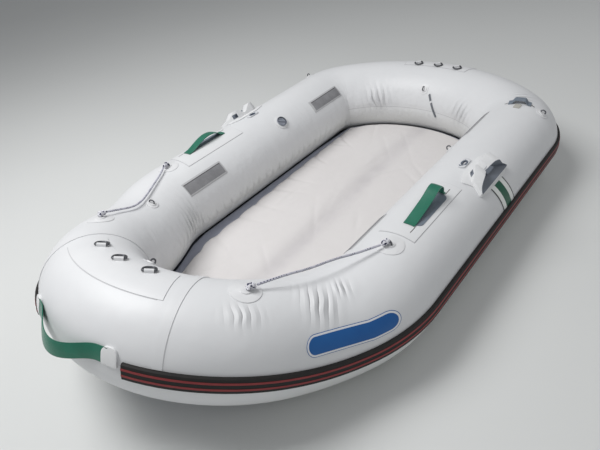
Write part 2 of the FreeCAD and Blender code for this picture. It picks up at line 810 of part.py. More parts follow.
# Rowlocks
for name, side in (("port", PORT), ("starboard", STARBOARD)):
    spot = seat(side, rowlock_distance, rowlock_angle)
    upright = Frame(spot.at(0, -ridge_depth, 0), spot.ahead, spot.up, spot.out)
    ridge = Part.Face(outline(upright, rowlock_ridge_profile)).extrude(spot.out * (2 * ridge_depth))
    low = Frame(spot.at(0, 0, -ridge_depth), spot.ahead, spot.out, spot.up)
    plan = Part.Face(outline(low, rowlock_ridge_plan)).extrude(spot.up * (3 * ridge_depth))
    ridge = ridge.common(plan).cut(swept(between(side, side_start, side_end), clear_section))
    trough = Part.makeCylinder(oar_radius, 2 * ridge_depth, spot.at(0, -ridge_depth, oar_centre_height),
                               spot.out)
    scoop = Part.makeCylinder(scoop_radius, ridge_depth, spot.at(0, scoop_centre, scoop_floor), spot.up)
    face = Frame(spot.at(0, -ridge_depth, 0), spot.ahead, spot.up, spot.out)
    inner_face = rowlock_ridge_plan[1][1] + flank_pocket_depth
    pocket = Part.Face(outline(face, flank_pocket)).extrude(spot.out * (ridge_depth + inner_face))
    ridge = ridge.cut([trough, scoop, pocket])
    flange = moulded_pad(side, rowlock_distance, rowlock_angle, rowlock_flange_outline, 0.0,
                         rowlock_flange)
    parts["rowlock_" + name] = flange.fuse(ridge).removeSplitter()
    keeper = moulded_pad(side, rowlock_distance, keeper_angle,
                         box_outline(keeper_length, keeper_width, keeper_width / 2 - 0.5), 0.0,
                         keeper_thickness)
    top = seat(side, rowlock_distance, keeper_angle, -keeper_thickness)
    hole = Part.Face(outline(top, box_outline(keeper_hole_length, keeper_hole_width,
                                              keeper_hole_width / 2 - 0.5)))
    parts["rowlock_keeper_" + name] = keeper.cut(hole.extrude(top.up * (4 * keeper_thickness)))

# Inflation valve
parts["valve_body"] = disc(STARBOARD, valve_distance, valve_angle, valve_radius, 0.0, valve_flange)
valve_spot = seat(STARBOARD, valve_distance, valve_angle)
parts["valve_cap"] = Part.makeCylinder(cap_radius, cap_height, valve_spot.at(0, 0, valve_flange),
                                       valve_spot.up)

# Webbing loop over the port quarter
spot = seat(PORT, quarter_loop_distance, quarter_loop_angle)
points = [seat(PORT, quarter_loop_distance, quarter_loop_angle + a * per_millimetre, web_lift + h).point
          for a, h in quarter_loop_path]
parts["quarter_loop_port"] = bent_bar(points, quarter_loop_bends,
                                      flat_section(quarter_loop_width, web_thickness, spot.ahead))

# The origin goes to the middle of the footprint
low = min(shape.optimalBoundingBox().XMin for shape in parts.values())
high = max(shape.optimalBoundingBox().XMax for shape in parts.values())
middle = (low + high) / 2
print("moved by", -middle, "length", high - low)

os.makedirs("parts", exist_ok=True)
for node, shape in parts.items():
    shape.translate(V(-middle, 0, 0))
    shape.exportStep("parts/" + node + ".step")
    print(node, len(shape.Solids), shape.isValid(), round(shape.Volume / 1e3, 2), len(shape.Faces))
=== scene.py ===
import math

import bpy
import numpy
from mathutils import Matrix, Vector


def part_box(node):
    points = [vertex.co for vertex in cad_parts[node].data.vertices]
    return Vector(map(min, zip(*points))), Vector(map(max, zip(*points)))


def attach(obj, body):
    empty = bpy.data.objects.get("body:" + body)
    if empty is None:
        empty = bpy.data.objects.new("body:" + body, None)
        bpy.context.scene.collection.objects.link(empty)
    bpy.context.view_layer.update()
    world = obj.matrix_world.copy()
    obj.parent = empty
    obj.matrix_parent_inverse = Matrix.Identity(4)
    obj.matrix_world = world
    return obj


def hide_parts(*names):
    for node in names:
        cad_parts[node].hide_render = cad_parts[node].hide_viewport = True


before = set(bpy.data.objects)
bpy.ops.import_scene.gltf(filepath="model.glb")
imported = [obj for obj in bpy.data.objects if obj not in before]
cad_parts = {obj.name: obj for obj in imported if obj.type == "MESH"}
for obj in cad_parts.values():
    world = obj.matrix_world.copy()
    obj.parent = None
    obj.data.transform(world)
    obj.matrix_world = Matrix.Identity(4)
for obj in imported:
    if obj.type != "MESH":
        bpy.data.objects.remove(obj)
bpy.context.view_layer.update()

# Studio: a plain pale floor, soft lamps overhead and the camera that stands off the port bow,
# leaning a little, as the photograph was taken.
camera_place = (1.3596, 1.1572, 1.3145)
camera_heading = math.radians(224.141)
camera_pitch = math.radians(-36.017)
camera_roll = math.radians(-9.5)
camera_lens = 31.2

bpy.ops.object.select_all(action="DESELECT")
bpy.ops.object.camera_add()
camera = bpy.context.object
camera.data.sensor_width = 36.0
camera.data.lens = camera_lens
camera.matrix_world = (Matrix.Translation(camera_place)
                       @ Matrix.Rotation(camera_heading - math.pi / 2, 4, "Z")
                       @ Matrix.Rotation(math.pi / 2 + camera_pitch, 4, "X")
                       @ Matrix.Rotation(camera_roll, 4, "Z"))
bpy.context.scene.camera = camera
bpy.context.scene.view_settings.view_transform = "Standard"

for place, size, power in (((1.2, -1.1, 3.3), 1.8, 98.0), ((2.4, 2.4, 2.4), 2.6, 12.0),
                           ((-2.6, 1.6, 2.8), 2.6, 14.0)):
    bpy.ops.object.light_add(type="AREA", location=place)
    lamp = bpy.context.object
    lamp.data.size = size
    lamp.data.energy = power
    lamp.rotation_euler = (Vector((0, 0, 0.1)) - Vector(place)).to_track_quat("-Z", "Y").to_euler()

world = bpy.data.worlds.new("studio_air")
world.use_nodes = True
world.node_tree.nodes["Background"].inputs["Color"].default_value = (0.95, 0.97, 1.0, 1.0)
world.node_tree.nodes["Background"].inputs["Strength"].default_value = 0.28
bpy.context.scene.world = world

bpy.ops.mesh.primitive_plane_add(size=30.0, location=(0, 0, -0.0008))
studio_floor = bpy.context.object
studio_floor.name = "studio_floor"


class Signal:
    """A value in a material's tree; arithmetic on it adds Math nodes."""

    def __init__(self, tree, socket):
        self.tree = tree
        self.socket = socket

    def joined(self, operation, first, second=None):
        node = self.tree.nodes.new("ShaderNodeMath")
        node.operation = operation
        for socket, value in zip(node.inputs, (first, second)):
            if isinstance(value, Signal):
                self.tree.links.new(value.socket, socket)
            elif value is not None:
                socket.default_value = value
        return Signal(self.tree, node.outputs[0])

    def __add__(self, other):
        return self.joined("ADD", self, other)

    __radd__ = __add__

    def __sub__(self, other):
        return self.joined("SUBTRACT", self, other)

    def __rsub__(self, other):
        return self.joined("SUBTRACT", other, self)

    def __mul__(self, other):
        return self.joined("MULTIPLY", self, other)

    __rmul__ = __mul__

    def __pow__(self, other):
        return self.joined("POWER", self, other)

    def __rpow__(self, other):
        return self.joined("POWER", other, self)

    def __lt__(self, other):
        return self.joined("LESS_THAN", self, other)

    def __gt__(self, other):
        return self.joined("GREATER_THAN", self, other)

    def __abs__(self):
        return self.joined("ABSOLUTE", self)


class Finish:
    """A material with one Principled shader, built from signals."""

    def __init__(self, name, **constants):
        self.material = bpy.data.materials.new(name)
        self.material.use_nodes = True
        self.tree = self.material.node_tree
        self.shader = self.tree.nodes["Principled BSDF"]
        for socket, value in constants.items():
            self.shader.inputs[socket.replace("_", " ")].default_value = value

    def node(self, kind, settings=None, inputs=None, output=0):
        node = self.tree.nodes.new("ShaderNode" + kind)
        for name, value in (settings or {}).items():
            setattr(node, name, value)
        for name, value in (inputs or {}).items():
            socket = node.inputs[name]
            if isinstance(value, Signal):
                self.tree.links.new(value.socket, socket)
            else:
                socket.default_value = value
        return Signal(self.tree, node.outputs[output])

    def feed(self, socket, value):
        self.tree.links.new(value.socket, self.shader.inputs[socket])

    def place(self):
        return self.node("TexCoord", output="Object")

    def value(self, name):
        """A number that the piece's mesh carries at each vertex."""
        return self.node("Attribute", {"attribute_name": name}, output="Fac")

    def noise(self, scale, detail=2.0, roughness=0.5, vector=None):
        return self.node("TexNoise", {}, {"Vector": vector or self.place(), "Scale": scale,
                                          "Detail": detail, "Roughness": roughness})

    def ripple(self, value):
        """Rises from 0 to 1 and falls back each time that value grows by one."""
        return self.node("Math", {"operation": "PINGPONG"}, {0: value, 1: 0.5}) * 2.0

    def mix(self, factor, first, second):
        """A colour between two colours; each is a colour or a signal."""
        inputs = {0: factor}
        inputs[6] = first if isinstance(first, Signal) else (*first, 1.0)
        inputs[7] = second if isinstance(second, Signal) else (*second, 1.0)
        return self.node("Mix", {"data_type": "RGBA"}, inputs, output=2)

    def part(self, vector, axis):
        """One of a vector's three coordinates."""
        return self.node("SeparateXYZ", {}, {"Vector": vector}, output=axis)

    def mottle(self, dark, light, *grain):
        """Colours the piece by noise between two colours and returns that noise."""
        spots = self.noise(*grain)
        self.feed("Base Color", self.mix(spots, dark, light))
        return spots

    def roughen(self, distance, strength, *grain):
        """Covers the piece with a fine noisy bump."""
        self.feed("Normal", self.bump(self.noise(*grain), distance, strength))

    def bump(self, height, distance, strength=1.0, under=None):
        inputs = {"Height": height, "Distance": distance, "Strength": strength}
        if under is not None:
            inputs["Normal"] = under
        return self.node("Bump", {}, inputs)


paint = Finish("studio_floor_paint", Roughness=0.9)
paint.mottle((0.66, 0.67, 0.66), (0.70, 0.71, 0.70), 0.7)
studio_floor.data.materials.append(paint.material)


# Life lines: two braided 7 mm lines of pale polyester with navy flecks, tied to an eye at each end.
# The port one is nearly taut; the starboard one has slack and lies on the tube.
line_diameter = 0.007
line_routes = {
    "port": [(0.72366, 0.35077, 0.40767), (0.65276, 0.38154, 0.39898), (0.58187, 0.41231, 0.38129),
             (0.51098, 0.44308, 0.37560), (0.44008, 0.47385, 0.35791), (0.36919, 0.50462, 0.34923)],
    "starboard": [(0.72216, -0.34660, 0.40780), (0.67848, -0.35621, 0.38525), (0.61721, -0.36077, 0.35836),
                  (0.56705, -0.38494, 0.34465), (0.51589, -0.41683, 0.33952), (0.45869, -0.45009, 0.34073),
                  (0.40210, -0.47951, 0.34356), (0.36770, -0.50168, 0.34938)],
}
line_finish = Finish("braided_line", Roughness=0.75, Specular_IOR_Level=0.25)
line_map = line_finish.node("UVMap")
along_line, around_line = line_finish.part(line_map, 0), line_finish.part(line_map, 1)
right_strand = line_finish.ripple(along_line * 62.0 + around_line * 2.0)
left_strand = line_finish.ripple(along_line * 62.0 - around_line * 2.0)
braid = right_strand.joined("MAXIMUM", right_strand, left_strand)
flecks = (right_strand * left_strand > 0.42) * (line_finish.noise(55.0, 1.0) > 0.5)
soiled = line_finish.mix(line_finish.noise(90.0, 3.0), (0.42, 0.42, 0.50), (0.66, 0.66, 0.72))
line_finish.feed("Base Color", line_finish.mix(flecks, soiled, (0.035, 0.035, 0.085)))
line_finish.feed("Normal", line_finish.bump(braid, 0.0014))

knot_finish = Finish("knotted_line", Roughness=0.75, Specular_IOR_Level=0.25)
knot_spots = knot_finish.noise(150.0, 1.0) > 0.56
knot_finish.feed("Base Color", knot_finish.mix(knot_spots, (0.72, 0.72, 0.76), (0.03, 0.032, 0.08)))
knot_finish.roughen(0.0012, 1.0, 420.0, 2.0)
# along the line from the eye's crown, radius of the turn, its lean in degrees
knot_turns = ((0.0115, 0.0062, 14.0), (0.0175, 0.0064, -8.0), (0.0235, 0.0062, 10.0), (0.0290, 0.0050, -12.0))


def pick(*pieces):
    """Selects these pieces alone; the first is active."""
    bpy.ops.object.select_all(action="DESELECT")
    for piece in pieces:
        piece.select_set(True)
    bpy.context.view_layer.objects.active = pieces[0]


def dress(piece, finish):
    """Gives a piece one material in place of what it has."""
    piece.data.materials.clear()
    piece.data.materials.append(finish.material)


def tied_knot(name, crown, along):
    """Turns of the line round itself, from the wire eye's crown to where the free line begins."""
    turns = []
    for reach, radius, lean in knot_turns:
        bpy.ops.object.select_all(action="DESELECT")
        bpy.ops.mesh.primitive_torus_add(major_segments=32, minor_segments=12, major_radius=radius,
                                         minor_radius=line_diameter / 2)
        turn = bpy.context.object
        tilt = Matrix.Rotation(math.radians(lean), 4, "X")
        turn.matrix_world = (Matrix.Translation(crown + along * reach)
                             @ along.to_track_quat("Z", "Y").to_matrix().to_4x4() @ tilt)
        turns.append(turn)
    bpy.ops.object.select_all(action="DESELECT")
    bpy.ops.mesh.primitive_uv_sphere_add(segments=24, ring_count=14, radius=0.0062)
    core = bpy.context.object
    core.matrix_world = (Matrix.Translation(crown + along * 0.020)
                         @ along.to_track_quat("Z", "Y").to_matrix().to_4x4()
                         @ Matrix.Diagonal((1, 1, 2.0, 1)))
    turns.append(core)
    pick(*turns)
    bpy.ops.object.join()
    knot = bpy.context.object
    knot.name = name
    bpy.ops.object.transform_apply()
    bpy.ops.object.shade_smooth()
    dress(knot, knot_finish)
    return knot


for side_name, route in line_routes.items():
    curve = bpy.data.curves.new("life_line_" + side_name, "CURVE")
    curve.dimensions = "3D"
    spline = curve.splines.new("NURBS")
    spline.points.add(len(route) - 1)
    for point, place in zip(spline.points, route):
        point.co = (*place, 1.0)
    spline.order_u = 3
    spline.use_endpoint_u = True
    spline.resolution_u = 12
    curve.bevel_depth = line_diameter / 2
    curve.bevel_resolution = 4
    line = bpy.data.objects.new("line_" + side_name, curve)
    bpy.context.collection.objects.link(line)
    line.data.materials.append(line_finish.material)
    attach(line, "boat")
    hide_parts("life_line_" + side_name)
    for end, last, before in (("fore", 0, 1), ("aft", -1, -2)):
        node = "line_knot_" + end + "_" + side_name
        low, high = (Vector(corner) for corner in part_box(node))
        middle = (low + high) / 2
        inward = (Vector(route[last]) - middle).normalized()
        knot = tied_knot("knot_" + end + "_" + side_name, middle - inward * 0.020, inward)
        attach(knot, "boat")
        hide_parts(node)
    length = sum((Vector(b) - Vector(a)).length for a, b in zip(route, route[1:]))
    length * 0.995


# Buoyancy tube: one ring of coated cloth, blown up hard. The cloth puckers inboard of each bend and
# beside the bow seams, and folds run round the tube on the port shoulder and beside the line's pads.
PORT = 1
STARBOARD = -1
tube_radius = 0.167
half_beam = 0.508
skin_radius = 0.1673
stern_centre_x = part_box("hull_tube_stern")[0][0] + tube_radius
stern_end_turn = math.radians(19.4)
stern_quarter_turn = math.radians(26.3)
stern_quarter_radius = 0.580
stern_corner_radius = 0.196
side_run = 1.022
bow_entry_turn = math.radians(26.3)
bow_entry_radius = 0.369
bow_rise_turn = math.radians(21.6)
bow_rise_radius = 0.644
bow_shoulder_turn = math.radians(30.0)
bow_shoulder_radius = 0.439
route_step = 0.002


class Walk:
    """Walks along the tube's centre line and notes its frame every few millimetres."""

    def __init__(self, side):
        self.side = side
        self.point = Vector((stern_centre_x, 0, tube_radius))
        self.ahead = Vector((0, side, 0))
        self.out = Vector((-1, 0, 0))
        self.up = Vector((0, 0, 1))
        self.gone = 0.0
        self.notes = [self.note()]
        self.bends = []

    def note(self):
        return (self.gone, *self.point, *self.ahead, *self.out, *self.up)

    def forward(self, length):
        self.bends.append((self.gone, length, None, None, 0.0))
        steps = math.ceil(length / route_step)
        start = self.point.copy()
        begun = self.gone
        for i in range(1, steps + 1):
            self.gone = begun + length * i / steps
            self.point = start + self.ahead * (length * i / steps)
            self.notes.append(self.note())

    def bend(self, radius, turn, upward=False, roll=0.0):
        toward = self.up if upward else -self.out
        centre = self.point + toward * radius
        axis = self.ahead.cross(toward)
        self.bends.append((self.gone, radius * turn, centre, axis, turn))
        start = (self.point.copy(), self.ahead.copy(), self.out.copy(), self.up.copy())
        begun = self.gone
        steps = math.ceil(radius * turn / route_step)
        for i in range(1, steps + 1):
            share = i / steps
            spin = Matrix.Rotation(turn * share, 3, axis)
            self.point = centre + spin @ (start[0] - centre)
            self.ahead = spin @ start[1]
            rolled = Matrix.Rotation(roll * share, 3, self.ahead)
            self.out = rolled @ (spin @ start[2])
            self.up = rolled @ (spin @ start[3])
            self.gone = begun + radius * turn * share
            self.notes.append(self.note())


def walk_round(side):
    walk = Walk(side)
    taken = (stern_quarter_radius * (math.sin(stern_end_turn + stern_quarter_turn) - math.sin(stern_end_turn))
             + stern_corner_radius * (1 - math.sin(stern_end_turn + stern_quarter_turn)))
    walk.bend((half_beam - taken) / math.sin(stern_end_turn), stern_end_turn)
    walk.bend(stern_quarter_radius, stern_quarter_turn)
    walk.bend(stern_corner_radius, math.pi / 2 - stern_end_turn - stern_quarter_turn)
    walk.forward(side_run)
    walk.bend(bow_entry_radius, bow_entry_turn)
    # the bow's plane slopes, so the frame rolls into it while the tube rises
    axis = walk.ahead.cross(walk.up)
    spin = Matrix.Rotation(bow_rise_turn, 3, axis)
    ahead = spin @ walk.ahead
    across = Vector((0, -side, 0))
    lead = ahead.dot(across)
    out = (ahead * lead - across).normalized()
    roll = side * math.atan2(out.dot(spin @ walk.up), out.dot(spin @ walk.out))
    walk.bend(bow_rise_radius, bow_rise_turn, upward=True, roll=roll)
    walk.bend(bow_shoulder_radius, bow_shoulder_turn)
    remaining = math.acos(walk.ahead.dot(across))
    reach = walk.ahead * math.sin(remaining) - walk.out * (1 - math.cos(remaining))
    walk.bend(-walk.point.y / reach.y, remaining)
    return walk


walks = {side: walk_round(side) for side in (PORT, STARBOARD)}
routes = {side: numpy.array(walk.notes) for side, walk in walks.items()}
half_length = walks[PORT].gone


def on_tube(side, distance, angle, height=0.0):
    """Points on the tube's skin, from arrays of distance along it, angle round it and height."""
    notes = routes[side]
    distance, angle, height = numpy.broadcast_arrays(numpy.asarray(distance, float), angle, height)
    columns = [numpy.interp(distance, notes[:, 0], notes[:, i]) for i in range(1, 13)]
    centre = numpy.stack(columns[0:3], -1)
    out = numpy.stack(columns[6:9], -1)
    up = numpy.stack(columns[9:12], -1)
    turn = numpy.radians(angle)[..., None]
    return centre + (up * numpy.sin(turn) - out * numpy.cos(turn)) * (skin_radius + height)[..., None]


def edit_all():
    """Opens the active piece for editing with all of it selected."""
    bpy.ops.object.mode_set(mode="EDIT")
    bpy.ops.mesh.select_all(action="SELECT")


def face_outward():
    """Turns all normals of the active piece outward and leaves editing."""
    edit_all()
    bpy.ops.mesh.normals_make_consistent(inside=False)
    bpy.ops.object.mode_set(mode="OBJECT")


def move_to(mesh, spots):
    """Moves a mesh's vertices to these points."""
    mesh.vertices.foreach_set("co", spots.reshape(-1))
    mesh.update()


# the circle is spun round each bend and pushed along each straight, as a tube is rolled up
side_begins = walks[PORT].bends[3][0]
tube_vertices = 128
ring_spacing = 0.008
halves = []
for side in (PORT, STARBOARD):
    walk = walks[side]
    bpy.ops.object.select_all(action="DESELECT")
    bpy.ops.mesh.primitive_circle_add(vertices=tube_vertices, radius=tube_radius,
                                      location=(stern_centre_x, 0, tube_radius),
                                      rotation=(math.pi / 2, 0, 0))
    half = bpy.context.object
    bpy.ops.object.transform_apply()
    edit_all()
    for begun, length, centre, axis, turn in walk.bends:
        steps = math.ceil(length / ring_spacing)
        if centre is None:
            for i in range(steps):
                bpy.ops.mesh.extrude_region_move(TRANSFORM_OT_translate={"value": (length / steps, 0, 0)})
        else:
            bpy.ops.mesh.spin(steps=steps, angle=-turn, center=centre, axis=axis)
    bpy.ops.object.mode_set(mode="OBJECT")
    halves.append(half)
pick(*halves)
bpy.ops.object.join()
tube = bpy.context.object
tube.name = "buoyancy_tube"
edit_all()
bpy.ops.mesh.remove_doubles(threshold=0.0008)
face_outward()
bpy.ops.object.shade_smooth()


def tube_places(mesh):
    """For each vertex: its side, its distance along the tube, its angle and its height off the skin."""
    spots = numpy.empty(len(mesh.vertices) * 3)
    mesh.vertices.foreach_get("co", spots)
    spots = spots.reshape(-1, 3)
    sides = numpy.where(spots[:, 1] >= 0, PORT, STARBOARD)
    distance, angle, height = numpy.zeros((3, len(spots)))
    for side in (PORT, STARBOARD):
        notes = routes[side][::2]
        mine = numpy.nonzero(sides == side)[0]
        for chunk in numpy.array_split(mine, max(1, len(mine) // 4000)):
            away = ((spots[chunk, None, :] - notes[None, :, 1:4]) ** 2).sum(-1)
            near = away.argmin(1)
            offset = spots[chunk] - notes[near, 1:4]
            distance[chunk] = notes[near, 0] + (offset * notes[near, 4:7]).sum(-1)
            level = (offset * notes[near, 7:10]).sum(-1)
            rise = (offset * notes[near, 10:13]).sum(-1)
            angle[chunk] = numpy.degrees(numpy.arctan2(rise, -level))
            height[chunk] = numpy.hypot(rise, level) - skin_radius
    return spots, sides, distance, (angle + 90.0) % 360.0 - 90.0, height


def bell(value, middle, width):
    return numpy.exp(-((value - middle) / width) ** 2)


def carry(mesh, **values):
    """Keeps numbers on a mesh's vertices for its material to read."""
    for name, numbers in values.items():
        attribute = mesh.attributes.new(name, "FLOAT", "POINT")
        attribute.data.foreach_set("value", numpy.asarray(numbers, dtype=numpy.float32))


spots, sides, distance, angle, height = tube_places(tube.data)
pucker = numpy.zeros(len(spots))
# middle, wave length, depth and spread along; middle angle and spread round; on which sides; metres that a
# fold leans along the tube for each degree round it
folds = [
    (1.76, 0.058, 0.0018, 0.16, 2.0, 30.0, (PORT, STARBOARD), 0.0004),
    (2.02, 0.053, 0.0013, 0.14, 5.0, 32.0, (PORT, STARBOARD), -0.0005),
    (0.62, 0.060, 0.0018, 0.13, 2.0, 32.0, (PORT, STARBOARD), -0.0004),
    (0.36, 0.075, 0.0008, 0.14, 10.0, 30.0, (PORT, STARBOARD), 0.0006),
    (1.20, 0.085, 0.0014, 0.45, -10.0, 16.0, (PORT, STARBOARD), 0.0),
    (1.975, 0.044, 0.0013, 0.060, 116.0, 15.0, (PORT,), -0.00120),
    (1.855, 0.044, 0.0010, 0.050, 110.0, 12.0, (PORT,), -0.0008),
]
uneven = 0.45 * numpy.sin(distance * 31.0 + 1.3) + 0.35 * numpy.sin(distance * 53.0 + angle * 0.05)
for middle, wave, depth, along, centre_angle, around, on_sides, lean in folds:
    phase = (distance + lean * (angle - centre_angle) - middle) / wave + 0.5 * uneven
    ridge = 1.0 - 2.0 * numpy.abs(numpy.sin(math.pi * phase)) ** 0.8
    mask = bell(distance, middle, along) * bell(angle, centre_angle, around)
    pucker += numpy.where(numpy.isin(sides, on_sides), ridge * mask * depth, 0.0)
# the seam round the inside of the stern pulls the cloth in a little
pucker -= 0.0016 * bell(angle, 1.0, 3.5) * (1 - numpy.clip((distance - 0.55) / 0.2, 0, 1))
normals = numpy.empty(len(spots) * 3)
tube.data.vertices.foreach_get("normal", normals)
spots = spots + normals.reshape(-1, 3) * pucker[:, None]
move_to(tube.data, spots)
carry(tube.data, along=distance, around=angle, side=sides)

tube_finish = Finish("coated_tube_cloth", Roughness=0.42, Specular_IOR_Level=0.45)
along_tube = tube_finish.value("along")
around_tube = tube_finish.value("around")
on_port = tube_finish.value("side") > 0.0


def strip(value, low, high):
    """1 between two values and 0 outside them."""
    return (value > low) * (value < high)


def nearness(value, middle, width):
    """1 at the middle, fading to about a third one width away."""
    share = (value - middle) * (1.0 / width)
    return 2.718 ** (share * share * -1.0)


soil = tube_finish.noise(7.0, 5.0, 0.6)
height_up = tube_finish.part(tube_finish.place(), 2)
# painted reflection: the cloth is tinted yellow-green lower down, as grass reflects in it
low_down = tube_finish.node("MapRange", {}, {"Value": height_up, "From Min": 0.02, "From Max": 0.20,
                                             "To Min": 0.55, "To Max": 0.0})
clean = tube_finish.mix(soil, (0.700, 0.708, 0.722), (0.745, 0.750, 0.758))
painted_grass_reflection = tube_finish.mix(low_down * soil, clean, (0.60, 0.62, 0.50))
# the tube is darker in a thin line along the stern's seam and in boxes round the glued patches, which show as
# lines past the patches' edges
edges = [(1.449, 0.162, 90.0, 21.9), (1.601, 0.110, 41.0, 10.8), (0.767, 0.110, 41.0, 10.8),
         (2.552, 0.178, 101.5, 20.5), (0.0, 0.168, 101.0, 18.0)]
edge_darkening = strip(around_tube, 0.2, 1.3) * (along_tube < 0.60) * 0.8
for middle, half_run, middle_angle, half_turn in edges:
    glued = (abs(along_tube - middle) < half_run) * (abs(around_tube - middle_angle) < half_turn)
    edge_darkening = edge_darkening.joined("MAXIMUM", edge_darkening, glued)
tube_finish.feed("Base Color", tube_finish.mix(edge_darkening * 0.35, painted_grass_reflection, (0.20, 0.20, 0.21)))
tube_finish.feed("Roughness", 0.36 + soil * 0.16)
# fine folds too narrow for the mesh: middle along, middle angle, wave, spread along, spread round, port
# only, lean
fine_folds = [(2.196, 127.0, 0.0185, 0.034, 9.0, True, 0.0), (1.985, 117.0, 0.032, 0.052, 17.0, True, 0.0012),
              (1.880, 106.0, 0.024, 0.030, 9.0, True, 0.0008), (0.560, 96.0, 0.026, 0.050, 14.0, True, 0.0),
              (0.300, 14.0, 0.041, 0.080, 16.0, False, 0.0009), (1.830, -2.0, 0.031, 0.130, 20.0, False, 0.0),
              (1.300, -14.0, 0.046, 0.50, 9.0, False, 0.0003)]
wander = (tube_finish.noise(6.0, 2.0) - 0.5) * 0.055
gathered = None
for middle, middle_angle, wave, reach, spread, port_only, lean in fine_folds:
    turned = along_tube - (around_tube - middle_angle) * lean + wander
    fold = tube_finish.ripple(turned * (1.0 / wave)) ** 0.6
    fold = fold * nearness(along_tube, middle, reach) * nearness(around_tube, middle_angle, spread) * wave
    fold = fold * on_port if port_only else fold
    gathered = fold if gathered is None else gathered + fold
long_way = tube_finish.node("CombineXYZ", {}, {"X": along_tube * 30.0, "Y": around_tube * 0.05})
crinkles = tube_finish.noise(1.0, 3.0, 0.6, long_way) * nearness(around_tube, 5.0, 40.0)
rumple = tube_finish.bump(tube_finish.noise(9.0, 2.0), 0.006, 0.5)
folded = tube_finish.bump(gathered, 0.26, 1.0, rumple)
crinkled = tube_finish.bump(crinkles, 0.006, 0.7, folded)
tube_finish.feed("Normal", tube_finish.bump(tube_finish.noise(900.0, 1.0), 0.0002, 0.3, crinkled))
tube.data.materials.append(tube_finish.material)
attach(tube, "boat")
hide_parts("hull_tube_stern", "hull_tube_bow", "hull_tube_port", "hull_tube_starboard",
            "hull_shoulder_port", "hull_shoulder_starboard")


# Seam tapes, doublers and ring patches: the same cloth, glued flat on the tube.
patch_finish = Finish("glued_patch_cloth", Roughness=0.40, Specular_IOR_Level=0.45)
mottle = patch_finish.mottle((0.695, 0.702, 0.715), (0.75, 0.754, 0.760), 11.0, 4.0, 0.6)
patch_finish.feed("Roughness", 0.34 + mottle * 0.14)
patch_finish.roughen(0.001, 0.35, 40.0, 3.0)
for name in ("bow_seam_tape_port", "bow_seam_tape_starboard", "bow_ring_patch", "stern_ring_patch",
             "handle_doubler_port", "handle_doubler_starboard"):
    dress(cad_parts[name], patch_finish)

bottom_finish = Finish("slate_bottom_cloth", Roughness=0.6, Specular_IOR_Level=0.35)
bottom_finish.mottle((0.13, 0.15, 0.19), (0.19, 0.21, 0.26), 11.0, 4.0, 0.6)
bottom_finish.roughen(0.002, 0.4, 30.0, 3.0)
dress(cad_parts["bottom_cloth"], bottom_finish)


# Line pads and eyes: round discs of tube cloth, each with a small loop of dark wire moulded into it.
def seat_frame(side, distance, angle):
    """A place on the skin with its axes ahead along the tube, out round it and up off it."""
    notes = routes[side]
    columns = [numpy.interp(distance, notes[:, 0], notes[:, i]) for i in range(1, 13)]
    centre, ahead, out, up = (Vector(columns[i:i + 3]) for i in range(0, 12, 3))
    turn = math.radians(angle)
    lift = up * math.sin(turn) - out * math.cos(turn)
    around = out * math.sin(turn) + up * math.cos(turn)
    axes = Matrix((ahead, around, lift)).transposed().to_4x4()
    return Matrix.Translation(centre + lift * skin_radius) @ axes


def merged_copy(node, name, flat_within=None):
    """A copy of a CAD node with its doubled vertices merged, and its flat faces where an angle is given."""
    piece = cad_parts[node].copy()
    piece.data = piece.data.copy()
    piece.name = name
    bpy.context.collection.objects.link(piece)
    pick(piece)
    piece.hide_set(False)
    edit_all()
    bpy.ops.mesh.remove_doubles(threshold=0.00002)
    if flat_within is not None:
        bpy.ops.mesh.dissolve_limited(angle_limit=math.radians(flat_within))
    bpy.ops.object.mode_set(mode="OBJECT")
    return piece


def round_edges(piece, width, segments, degrees):
    """Rounds the edges of a piece that are sharper than an angle."""
    pick(piece)
    edge = piece.modifiers.new("edge", "BEVEL")
    edge.width = width
    edge.segments = segments
    edge.limit_method = "ANGLE"
    edge.angle_limit = math.radians(degrees)
    bpy.ops.object.modifier_apply(modifier=edge.name)


def softened(node, name, finish, rounding, place=None):
    """A copy of a CAD node with its sharp edges rounded, which stands for it."""
    piece = merged_copy(node, name, 0.6)
    round_edges(piece, rounding, 2, 34)
    bpy.ops.object.shade_smooth_by_angle(angle=math.radians(42))
    carry(piece.data, lift=tube_places(piece.data)[-1])
    if place is not None:
        local = seat_frame(*place).inverted()
        flat = numpy.array([local @ vertex.co for vertex in piece.data.vertices])
        carry(piece.data, fore=flat[:, 0], outboard=flat[:, 1], rise=flat[:, 2])
    dress(piece, finish)
    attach(piece, "boat")
    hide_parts(node)
    return piece


eye_finish = Finish("pad_and_wire", Roughness=0.40, Specular_IOR_Level=0.45)
is_wire = eye_finish.value("lift") > 0.0045
mottle = eye_finish.noise(30.0, 4.0, 0.6)
pad_colour = eye_finish.mix(mottle, (0.70, 0.705, 0.715), (0.78, 0.782, 0.788))
wire_colour = eye_finish.mix(mottle, (0.030, 0.032, 0.040), (0.14, 0.145, 0.16))
eye_finish.feed("Base Color", eye_finish.mix(is_wire, pad_colour, wire_colour))
eye_finish.roughen(0.0008, 0.4, 60.0, 3.0)
for node in ("line_pad_fore_port", "line_pad_aft_port", "line_pad_fore_starboard", "line_pad_aft_starboard",
             "bow_inner_eye", "stern_inner_eye", "middle_eye_starboard", "seat_eye_port",
             "quarter_eye_port", "quarter_eye_starboard"):
    softened(node, node.replace("line_pad", "pad") + "_moulded", eye_finish, 0.0004)


